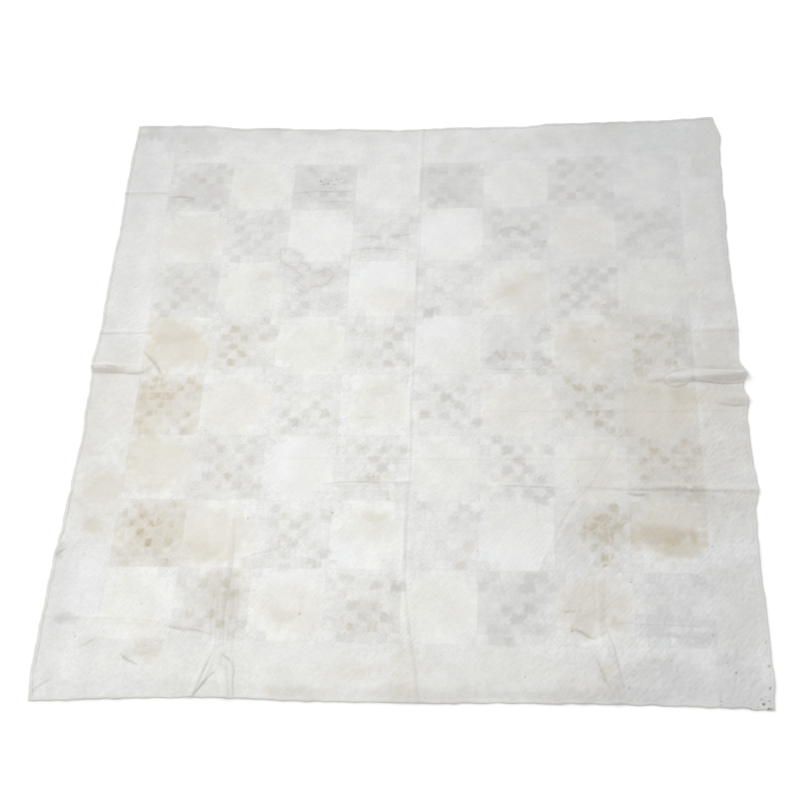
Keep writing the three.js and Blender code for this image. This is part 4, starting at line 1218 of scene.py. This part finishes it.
def shaded(recipe, colour, crinkle, crinkled):
    """The colour times 1 + the patch's tone + clouds of light and dark, with painted shade in the
    crinkle's hollows and painted light on its tops.
    """
    # Darker in the crinkle's hollows and lighter on its tops: painted shade and light.
    dirt_and_shade = HOLLOW_SHADE_PAINT * crinkled
    shade = recipe.number("ADD", recipe.cloudy(70, 4, -0.035, 0.035),
                          recipe.step(crinkle, 0.3, 0.7, -dirt_and_shade, dirt_and_shade))
    shade = recipe.number("ADD", shade, recipe.cloudy(9, 3, -0.03, 0.03))
    tone = recipe.number("ADD", recipe.attribute("patch_tone"), 1.0)
    shade = recipe.number("ADD", shade, tone)
    lit = recipe.tree.nodes.new("ShaderNodeCombineColor")
    for socket in lit.inputs:
        recipe.connect(shade, socket)
    return recipe.mix(1.0, colour, lit.outputs[0], "MULTIPLY")


def stained(recipe, colour, takes, clean, worn, printed):
    """The dyes over the colour, one by one: each covers amount * takes * unevenness of it."""
    tan, brown, grey_and_shade = recipe.split(recipe.attribute("marks", "Vector"))
    amounts = {"clean": clean, "tan": tan, "brown": brown, "grey_and_shade": grey_and_shade}
    clouds = recipe.cloudy(60, 3, 0.88, 1.12)
    thirsty = clouds
    if printed:
        mottled = recipe.cloudy(15, 4, 0.5, 1.5, rough=0.6, spread=0.25)
        thirsty = recipe.number("MULTIPLY", recipe.attribute("patch_thirst"), mottled)
        left = recipe.number("MULTIPLY_ADD", worn, -RUBBED, 1.0)
        thirsty = recipe.number("MULTIPLY", thirsty, left)
    for name, dye, k, most in DYES:
        share = recipe.number("MULTIPLY", amounts[name], takes[k])
        share = recipe.number("MULTIPLY", share, thirsty if name == "brown" else clouds)
        colour = recipe.mix(recipe.number("MINIMUM", share, most), colour, as_seen(*dye))
    return colour

# %% One cotton
MOST_GRIME_AND_SHADE = 0.9
THREAD_SHOWS = 0.2
ROUGHNESS = 0.92
GLOSS = 0.15
SHEEN, SHEEN_ROUGHNESS = 0.08, 0.5


def cotton(name, ground, print_colour=None, print_size=4.0, print_share=0.0,
           takes=(1.0, 1.0, 1.0, 1.0), quilted=True, crinkled=1.0):
    """Cloth of one colour with a worn print, age marks, painted shade, weave, crinkle and, if quilted,
    stitches. takes gives how strongly it takes tan, brown, grey and clean, crinkled how rough it is
    and how much shade and light are painted on its crinkle."""
    recipe = Recipe(name)
    darkening, clean, worn = recipe.split(recipe.attribute("fine_marks", "Vector"))
    colour = faded_ground(recipe, ground, worn, print_colour, print_size, print_share)
    crinkle = recipe.noise(7.5, 3, rough=0.6)
    colour = shaded(recipe, colour, crinkle, crinkled)
    colour = stained(recipe, colour, takes, clean, worn, bool(print_colour))
    # Last the darkening: grime, with painted shade in the creases and under the binding.
    colour = recipe.mix(recipe.number("MINIMUM", darkening, MOST_GRIME_AND_SHADE), colour, as_seen(*GRIME_AND_SHADE))
    height = recipe.number("MULTIPLY", weave(recipe), WEAVE_HEIGHT)
    crinkle = recipe.number("MULTIPLY", crinkle, FINE_CRINKLE * crinkled)
    finer = recipe.number("MULTIPLY", recipe.noise(2.6), FINER_CRINKLE * crinkled)
    height = recipe.number("ADD", height, recipe.number("ADD", crinkle, finer))
    if quilted:
        line, cross, _ = recipe.split(recipe.attribute("quilt_lines", "Vector"))
        for count, along, depth in ((line, cross, GROOVE_DEPTH), (cross, line, CROSS_GROOVE_DEPTH)):
            groove, thread = stitched_line(recipe, count, along)
            height = recipe.number("MULTIPLY_ADD", groove, -depth, height)
            height = recipe.number("MULTIPLY_ADD", thread, STITCH_HEIGHT, height)
            seen = recipe.number("MULTIPLY", thread, THREAD_SHOWS)
            colour = recipe.mix(seen, colour, as_seen(*THREAD_COLOUR))
    bump = recipe.tree.nodes.new("ShaderNodeBump")
    bump.inputs["Strength"].default_value = 1.0
    bump.inputs["Distance"].default_value = MM
    recipe.connect(height, bump.inputs["Height"])
    for socket, value in (
        ("Normal", bump.outputs[0]), ("Base Color", colour), ("Roughness", ROUGHNESS),
        ("Specular IOR Level", GLOSS), ("Sheen Weight", SHEEN), ("Sheen Roughness", SHEEN_ROUGHNESS),
    ):
        recipe.connect(value, recipe.shader.inputs[socket])
    return recipe.material

# %% The cottons of this quilt
COTTONS = {
    "A": cotton("mauve_print", (231, 230, 229), (202, 199, 202), 8.0, 0.30, (0.8, 0.85, 0.9, 0.6),
                crinkled=1.4),
    "B": cotton("brown_print", (226, 225, 222), (186, 178, 168), 7.0, 0.38, (0.9, 1.0, 1.0, 0.3),
                crinkled=1.4),
    "C": cotton("blue_print", (230, 231, 232), (203, 207, 211), 9.0, 0.28, (0.8, 0.8, 0.9, 0.9),
                crinkled=1.4),
    "W": cotton("cream_cotton", (236, 237, 234), takes=(0.8, 0.8, 0.9, 0.9), crinkled=1.4),
    "F": cotton("field_cotton", (239, 240, 235), takes=(0.85, 0.8, 0.8, 1.0)),
    "border": cotton("border_cotton", (232, 233, 231), takes=(0.8, 0.7, 0.8, 1.0), crinkled=2.8),
    "back": cotton("backing_muslin", (234, 231, 222), takes=(0.3, 0.2, 0.3, 0.0)),
    "binding": cotton("binding_tape", (227, 227, 222), takes=(0.7, 0.5, 0.8, 0.3), quilted=False),
}
print("cloths:", [m.name for m in COTTONS.values()])

# %% [markdown]
# ## A quilted sheet as a closed mesh
#
# The face needs a fine grid, nine cells to a patch, so that seams fall on grid lines. The backing
# lies flat and needs only a third as many. The two grids are joined by upright walls, whose faces
# have four corners on the fine side and two on the coarse side, so the sheet is closed with no
# stray edge.

# %% Grids, their faces and the walls between them
CELLS_PER_PATCH = 9
CELL = PATCH / CELLS_PER_PATCH
COARSE = 3


def even_lines(low, high):
    """Grid lines a cell apart, their count of steps a multiple of COARSE."""
    steps = max(1, round((high - low) / CELL / COARSE)) * COARSE
    return np.linspace(low, high, steps + 1)


def wall_faces(fine, coarse):
    """Faces between a fine run of vertices and a coarse one below it, seen from outside."""
    faces = []
    for k in range(len(coarse) - 1):
        face = fine[k * COARSE:(k + 1) * COARSE + 1][::-1]
        faces.append([*face, coarse[k], coarse[k + 1]])
    return faces


def grid_faces(index, upward):
    """The four-cornered faces of a grid of vertex numbers, counter-clockwise seen from their side."""
    a, b, c, d = index[:-1, :-1], index[:-1, 1:], index[1:, 1:], index[1:, :-1]
    order = (a, b, c, d) if upward else (a, d, c, b)
    return np.stack([corner.ravel() for corner in order], axis=1).tolist()


print(f"a cell of the fine grid is {CELL:.2f} mm wide, of the coarse one {CELL * COARSE:.2f} mm")

# %% From arrays to an object
SHARP_FROM = math.radians(58)


def finish_mesh(name, points, faces, cloth_of_face, cloths, scrap_of_face, marks):
    """Makes the object from its arrays, with its cloths, attributes and creased walls.
    scrap_of_face holds a tone, a fade and a thirst for stains for each face, and marks the three
    arrays of vertex_marks()."""
    mesh = bpy.data.meshes.new(name)
    placed = (points + np.array([MIDDLE_X, MIDDLE_Y, 0])) * MM
    mesh.from_pydata(placed.tolist(), [], faces)
    for cloth in cloths:
        mesh.materials.append(COTTONS[cloth])
    mesh.polygons.foreach_set("material_index", np.array(cloth_of_face, dtype=np.int32))
    for field, values in zip(("patch_tone", "patch_fade", "patch_thirst"), scrap_of_face.T):
        mesh.attributes.new(field, "FLOAT", "FACE").data.foreach_set("value", np.ravel(values))
    for field, values in zip(("marks", "fine_marks", "quilt_lines"), marks):
        stored = mesh.attributes.new(field, "FLOAT_VECTOR", "POINT")
        stored.data.foreach_set("vector", np.ravel(values))
    mesh.polygons.foreach_set("use_smooth", np.ones(len(faces), dtype=bool))
    mesh.set_sharp_from_angle(angle=SHARP_FROM)
    mesh.validate()
    mesh.update()
    piece = bpy.data.objects.new(name, mesh)
    bpy.context.scene.collection.objects.link(piece)
    return piece


def vertex_marks(u, v, x, y, crease_dirt_and_shade, edge_shade=0.0):
    """The three attributes of a set of vertices, each as rows of three numbers: tan, brown, grey;
    grime with painted shade, clean, worn beside a seam; the counts of the two sets of quilting
    lines, and 0."""
    marks, darkening = age_marks(u, v, crease_dirt_and_shade, edge_shade)
    lines = [line_count(x, y, LINE_SLANT, 31), line_count(x, y, CROSS_SLANT, 41)]
    fine = np.stack([darkening, marks[..., 3], worn_seam(u, v)], axis=-1)
    lines = np.stack([*lines, np.zeros_like(x)], axis=-1)
    return marks[..., :3].reshape(-1, 3), fine.reshape(-1, 3), lines.reshape(-1, 3)

# %% The closed sheet
PLAIN_SCRAP = (0.0, 0.0, 1.0)


def quilted_sheet(name, us, vs, cloths, cloth_of_cell, scrap_of_cell):
    """A closed sheet over the grid us by vs. cloth_of_cell and scrap_of_cell take the sewing
    coordinates of the cells' middles and give an index into cloths, and the cells' tone, fade
    and thirst for stains."""
    u, v = np.meshgrid(us, vs)
    x, y = place(u, v)
    top, crease_dirt_and_shade = top_height(u, v, x, y)
    under_x, under_y = x[::COARSE, ::COARSE], y[::COARSE, ::COARSE]
    under = underside_height(under_x, under_y)
    face_points = np.stack([x, y, top], axis=-1).reshape(-1, 3)
    back_points = np.stack([under_x, under_y, under], axis=-1).reshape(-1, 3)
    upper = np.arange(u.size).reshape(u.shape)
    lower = np.arange(under.size).reshape(under.shape) + u.size
    faces = grid_faces(upper, True)
    cell_u, cell_v = np.meshgrid((us[1:] + us[:-1]) / 2, (vs[1:] + vs[:-1]) / 2)
    cloth = cloth_of_cell(cell_u, cell_v).ravel().tolist()
    scraps = np.stack(scrap_of_cell(cell_u, cell_v), axis=-1).reshape(-1, 3)
    rest = grid_faces(lower, False)
    for fine, coarse in (
        (upper[0][::-1], lower[0][::-1]), (upper[-1], lower[-1]),
        (upper[:, 0], lower[:, 0]), (upper[:, -1][::-1], lower[:, -1][::-1]),
    ):
        rest += wall_faces(fine.tolist(), coarse.tolist())
    marks = [
        np.vstack([rows, rows.reshape(*u.shape, 3)[::COARSE, ::COARSE].reshape(-1, 3)])
        for rows in vertex_marks(u, v, x, y, crease_dirt_and_shade)
    ]
    return finish_mesh(
        name, np.vstack([face_points, back_points]), faces + rest,
        cloth + [len(cloths) - 1] * len(rest), cloths,
        np.vstack([scraps, np.tile(PLAIN_SCRAP, (len(rest), 1))]), marks,
    )

# %% [markdown]
# ## The patchwork
#
# The chart below is the pattern itself, the triple irish chain: three prints run as diagonal chains
# through seven by seven patches. The blocks between them are plain cream but for three patches in
# each corner, which carry the chains on. The patchwork is sewn from rows of blocks, and each row is
# one piece here.

# %% Chart of the two blocks
PIECED_BLOCK = (
    "ABCWCBA",
    "BABCBAB",
    "CBABABC",
    "WCBABCW",
    "CBABABC",
    "BABCBAB",
    "ABCWCBA",
)
PLAIN_BLOCK = (
    "BCFFFCB",
    "CFFFFFC",
    "FFFFFFF",
    "FFFFFFF",
    "FFFFFFF",
    "CFFFFFC",
    "BCFFFCB",
)
PATCH_CLOTHS = ("A", "B", "C", "W", "F", "back")


def chart_numbers(chart):
    """The chart's letters as indices into PATCH_CLOTHS."""
    return np.array([[PATCH_CLOTHS.index(letter) for letter in row] for row in chart])


def patch_number(u, v):
    """Column and row of the patch at a place, counted from the far left corner."""
    last = PATCHES_PER_BLOCK * BLOCKS - 1
    column = np.clip(np.floor((u + CENTRE_HALF) / PATCH).astype(int), 0, last)
    row = np.clip(np.floor((CENTRE_HALF - v) / PATCH).astype(int), 0, last)
    return column, row


def patch_cloth(u, v):
    """Which cloth the patch at a place is cut from, by the chart of its block."""
    column, row = patch_number(u, v)
    pieced, plain = chart_numbers(PIECED_BLOCK), chart_numbers(PLAIN_BLOCK)
    inner = (row % PATCHES_PER_BLOCK, column % PATCHES_PER_BLOCK)
    return np.where(is_pieced(u, v), pieced[inner], plain[inner])

# %% Scraps of the patchwork
PATCH_TONE = 0.013
BLOCK_TONE = 0.010
FAR_FADE = 0.48
NEAR_FADE = 0.62
BLEACHED_MORE = 0.26
BLEACHED_ACROSS, BLEACHED_DOWN = 3.4, 5.0
BLEACHED_WIDE, BLEACHED_LONG = 2.4, 2.6
PLAIN_FADE = 0.90
FADE_SPREAD = 0.30
MOST_FADE = 0.95
THIRST_SPREAD = 0.22
THIRST_RANGE = (0.15, 2.4)


def patch_scrap(u, v):
    """Each patch is a scrap with its own tone, fade and thirst for stains. In a plain block the
    field is one piece, and the three patches in each of its corners have faded most."""
    column, row = patch_number(u, v)
    count = PATCHES_PER_BLOCK * BLOCKS
    rng = np.random.default_rng(101)
    scraps = rng.normal(0, PATCH_TONE, (count, count))
    blocks = rng.normal(0, BLOCK_TONE, (BLOCKS, BLOCKS))
    spread = rng.normal(0, FADE_SPREAD, (count, count))
    whole = blocks[row // PATCHES_PER_BLOCK, column // PATCHES_PER_BLOCK]
    field = patch_cloth(u, v) == PATCH_CLOTHS.index("F")
    tone = np.where(field, whole, whole + scraps[row, column])
    pieced_fade = FAR_FADE + (NEAR_FADE - FAR_FADE) * blend(row / count * 2)
    across, down = in_blocks(u, v)
    bleached = np.exp(-(((across - BLEACHED_ACROSS) / BLEACHED_WIDE) ** 2)
                      - ((down - BLEACHED_DOWN) / BLEACHED_LONG) ** 2)
    pieced_fade = pieced_fade + BLEACHED_MORE * bleached
    fade = np.where(is_pieced(u, v), pieced_fade, PLAIN_FADE) + spread[row, column]
    thirst = np.exp(rng.normal(-THIRST_SPREAD**2 / 2, THIRST_SPREAD, (count, count)))
    thirst = np.where(is_pieced(u, v), thirst[row, column], 1.0)
    return tone, np.clip(fade, 0, MOST_FADE), np.clip(thirst, *THIRST_RANGE)

# %% Sew the rows
def make_patchwork():
    """One closed sheet for each row of blocks, from the near row to the far one."""
    rows = []
    us = np.linspace(-CENTRE_HALF, CENTRE_HALF, BLOCKS * PATCHES_PER_BLOCK * CELLS_PER_PATCH + 1)
    for k in range(BLOCKS):
        low = -CENTRE_HALF + k * BLOCK
        vs = np.linspace(low, low + BLOCK, PATCHES_PER_BLOCK * CELLS_PER_PATCH + 1)
        name = f"patchwork_row_{BLOCKS - k}"
        rows.append(quilted_sheet(name, us, vs, PATCH_CLOTHS, patch_cloth, patch_scrap))
    return rows


patchwork_rows = make_patchwork()
print("patchwork rows:", [row.name for row in patchwork_rows])

# %% [markdown]
# ## The borders
#
# The borders are plain strips of washed cotton. The side ones run the whole length of the quilt, and
# the far and near ones lie between them. They use the same sheet function, so folds and quilting
# lines cross the seams without a break.

# %% Borders
def border_cloth(u, _):
    """The border's one cloth, the first of its list, everywhere."""
    return np.zeros(u.shape, dtype=int)


def border_scrap(u, _):
    """The tone, fade and thirst of a plain scrap everywhere."""
    return [np.full(u.shape, value) for value in PLAIN_SCRAP]


def make_borders():
    """The four border strips by name: far and near between the sides, left and right full length."""
    outside = even_lines(CENTRE_HALF, INNER_EDGE)
    across = even_lines(-CENTRE_HALF, CENTRE_HALF)
    whole = even_lines(-INNER_EDGE, INNER_EDGE)
    grids = {
        "far": (across, outside),
        "near": (across, -outside[::-1]),
        "right": (outside, whole),
        "left": (-outside[::-1], whole),
    }
    cloths = ("border", "back")
    return {
        edge: quilted_sheet(f"border_strip_{edge}", us, vs, cloths, border_cloth, border_scrap)
        for edge, (us, vs) in grids.items()
    }


border_strips = make_borders()
print("border strips:", [strip.name for strip in border_strips.values()])

# %% [markdown]
# ## The binding
#
# The binding is a narrow strip folded over the raw edge, so its section is a flattened round. It
# could be a curve with a bevel, but then it would not follow the folds. Here the section is carried
# along the edge as a grid: one parameter goes round the section, the other along the edge, and the
# ends are cut at 45 degrees to meet at the corners.

# %% Section of the binding
SECTION_POINTS = 20
SECTION_SQUARENESS = 3.0
BINDING_OVERLAP = 0.6


def binding_section():
    """A flattened round (superellipse): depth from the inner edge outwards and height, in mm."""
    angle = np.linspace(0, 2 * math.pi, SECTION_POINTS, endpoint=False)
    power = 2 / SECTION_SQUARENESS
    c, s = np.cos(angle), np.sin(angle)
    inner = INNER_EDGE - BINDING_OVERLAP
    half_width, half_height = (EDGE_HALF - inner) / 2, (THICKNESS + BINDING_RISE) / 2
    depth = inner + half_width * (1 + np.sign(c) * np.abs(c) ** power)
    height = half_height * (1 + np.sign(s) * np.abs(s) ** power)
    return depth, height

# %% The tube along one edge
# Painted shade on the lower outer side of the binding, by edge: darkest at the near edge, which faces
# away from the light, and none at the left.
EDGE_SHADE_PAINT = {"far": 0.35, "near": 0.75, "right": 0.55, "left": 0.0}
EDGE_SHADE_UNEVEN, EDGE_SHADE_SIZE = 0.4, 40
PUCKERS = ((0.35, 9), (0.35, 31))


def make_binding(edge, axis, side):
    """The binding of one edge: a tube of section rings, lifted where the folds lift the border."""
    depth, rise = binding_section()
    along = even_lines(-EDGE_HALF, EDGE_HALF)
    inside = along[(along > -INNER_EDGE + CELL) & (along < INNER_EDGE - CELL)]
    along = np.array([-EDGE_HALF, *inside, EDGE_HALF])
    run, deep = np.meshgrid(along, depth, indexing="ij")
    run = np.clip(run, -deep, deep)
    u, v = (run, side * deep) if axis == "x" else (side * deep, run)
    x, y = place(u, v)
    lift, lift_under = fold_height(x, y), underside_height(x, y)
    share = rise[None, :] / (THICKNESS + BINDING_RISE)
    puckers = ragged(x, y, PUCKERS, 111)
    height = rise[None, :] + lift_under + (lift - lift_under + batting_wave(x, y) + puckers) * share
    rings = np.arange(u.size).reshape(u.shape)
    closed = np.hstack([rings, rings[:, :1]])
    outward = (axis == "x") == (side < 0)
    faces = grid_faces(closed, outward)
    caps = [rings[0][::-1].tolist(), rings[-1].tolist()]
    if outward:
        caps = [cap[::-1] for cap in caps]
    _, crease_dirt_and_shade = crease_relief(x, y)
    # The lower outer side of the binding is darkened unevenly: painted shade along the edge.
    low_and_outside = (deep > (INNER_EDGE + EDGE_HALF) / 2) * blend(1.2 - 2.0 * share)
    painted_edge_shade = EDGE_SHADE_PAINT[edge] * (1 + EDGE_SHADE_UNEVEN * uneven(x, y, EDGE_SHADE_SIZE, 113))
    marks = vertex_marks(u, v, x, y, crease_dirt_and_shade, painted_edge_shade * low_and_outside)
    faces += caps
    return finish_mesh(
        f"binding_strip_{edge}", np.stack([x, y, height], axis=-1).reshape(-1, 3), faces,
        [0] * len(faces), ("binding",), np.tile(PLAIN_SCRAP, (len(faces), 1)), marks,
    )

# %% Sew the binding on
binding_strips = {
    edge: make_binding(edge, axis, side)
    for edge, axis, side in (("far", "x", 1), ("near", "x", -1), ("right", "y", 1), ("left", "y", -1))
}
print("binding strips:", [strip.name for strip in binding_strips.values()])

# %% [markdown]
# ## Floor and light
#
# The floor is plain and nearly white, as a studio sweep is. The main light is soft and comes from the
# far left, rather low, so that quilting and creases throw small shadows; the pale surroundings
# fill them in. The floor is a little brighter than the cloth and shows as white.

# %% Floor
FLOOR_HALF = 9.0
FLOOR_DROP = 0.0004
FLOOR_WHITE = 0.93
FLOOR_ROUGHNESS = 0.9
FLOOR_GLOSS = 0.1


def make_floor():
    """A square, a hair below the cloth so that the two never share a plane."""
    mesh = bpy.data.meshes.new("floor")
    corners = [(-1, -1), (1, -1), (1, 1), (-1, 1)]
    points = [(x * FLOOR_HALF, y * FLOOR_HALF, -FLOOR_DROP) for x, y in corners]
    mesh.from_pydata(points, [], [(0, 1, 2, 3)])
    recipe = Recipe("floor_paint")
    for socket, value in (("Base Color", (FLOOR_WHITE, FLOOR_WHITE, FLOOR_WHITE, 1)),
                          ("Roughness", FLOOR_ROUGHNESS), ("Specular IOR Level", FLOOR_GLOSS)):
        recipe.connect(value, recipe.shader.inputs[socket])
    mesh.materials.append(recipe.material)
    floor = bpy.data.objects.new("floor", mesh)
    bpy.context.scene.collection.objects.link(floor)


make_floor()

# %% Light
SUN_STRENGTH = 1.3
SUN_SPREAD = math.radians(45)
SUN_FROM = Vector((-0.62, 0.62, 0.60))
SKY_STRENGTH = 0.89


def make_light():
    """Level cloth gets sky + sun * sin(height) / pi, about LIGHT_ON_CLOTH in all."""
    data = bpy.data.lights.new("soft_key", "SUN")
    data.energy = SUN_STRENGTH
    data.angle = SUN_SPREAD
    sun = bpy.data.objects.new("soft_key", data)
    sun.rotation_mode = "QUATERNION"
    sun.rotation_quaternion = SUN_FROM.to_track_quat("Z", "Y")
    bpy.context.scene.collection.objects.link(sun)
    world = bpy.data.worlds.new("studio")
    bpy.context.scene.world = world
    world.use_nodes = True
    background = world.node_tree.nodes["Background"]
    background.inputs["Color"].default_value = (1, 1, 1, 1)
    background.inputs["Strength"].default_value = SKY_STRENGTH
    level = SKY_STRENGTH + SUN_STRENGTH * SUN_FROM.normalized().z / math.pi
    print(f"light on level cloth: {level:.3f}")


make_light()
bpy.context.scene.view_settings.view_transform = "Standard"

# %% [markdown]
# ## What each piece stands for
#
# Every piece rides on the quilt's one body. A row of the patchwork stands for the solid of the whole
# patchwork, and each strip for its own solid. Each binding goes with its border.

for row in patchwork_rows:
    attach(row, "root")
    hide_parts("patchwork_centre")

for edge, strip in border_strips.items():
    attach(strip, "root")
    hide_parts(f"border_{edge}")
    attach(binding_strips[edge], "root")
    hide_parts(f"binding_{edge}")

pieces = [*patchwork_rows, *border_strips.values(), *binding_strips.values()]
counts = {p.name: sum(len(f.vertices) - 2 for f in p.data.polygons) for p in pieces}
print("triangles:", counts, "in all", sum(counts.values()))
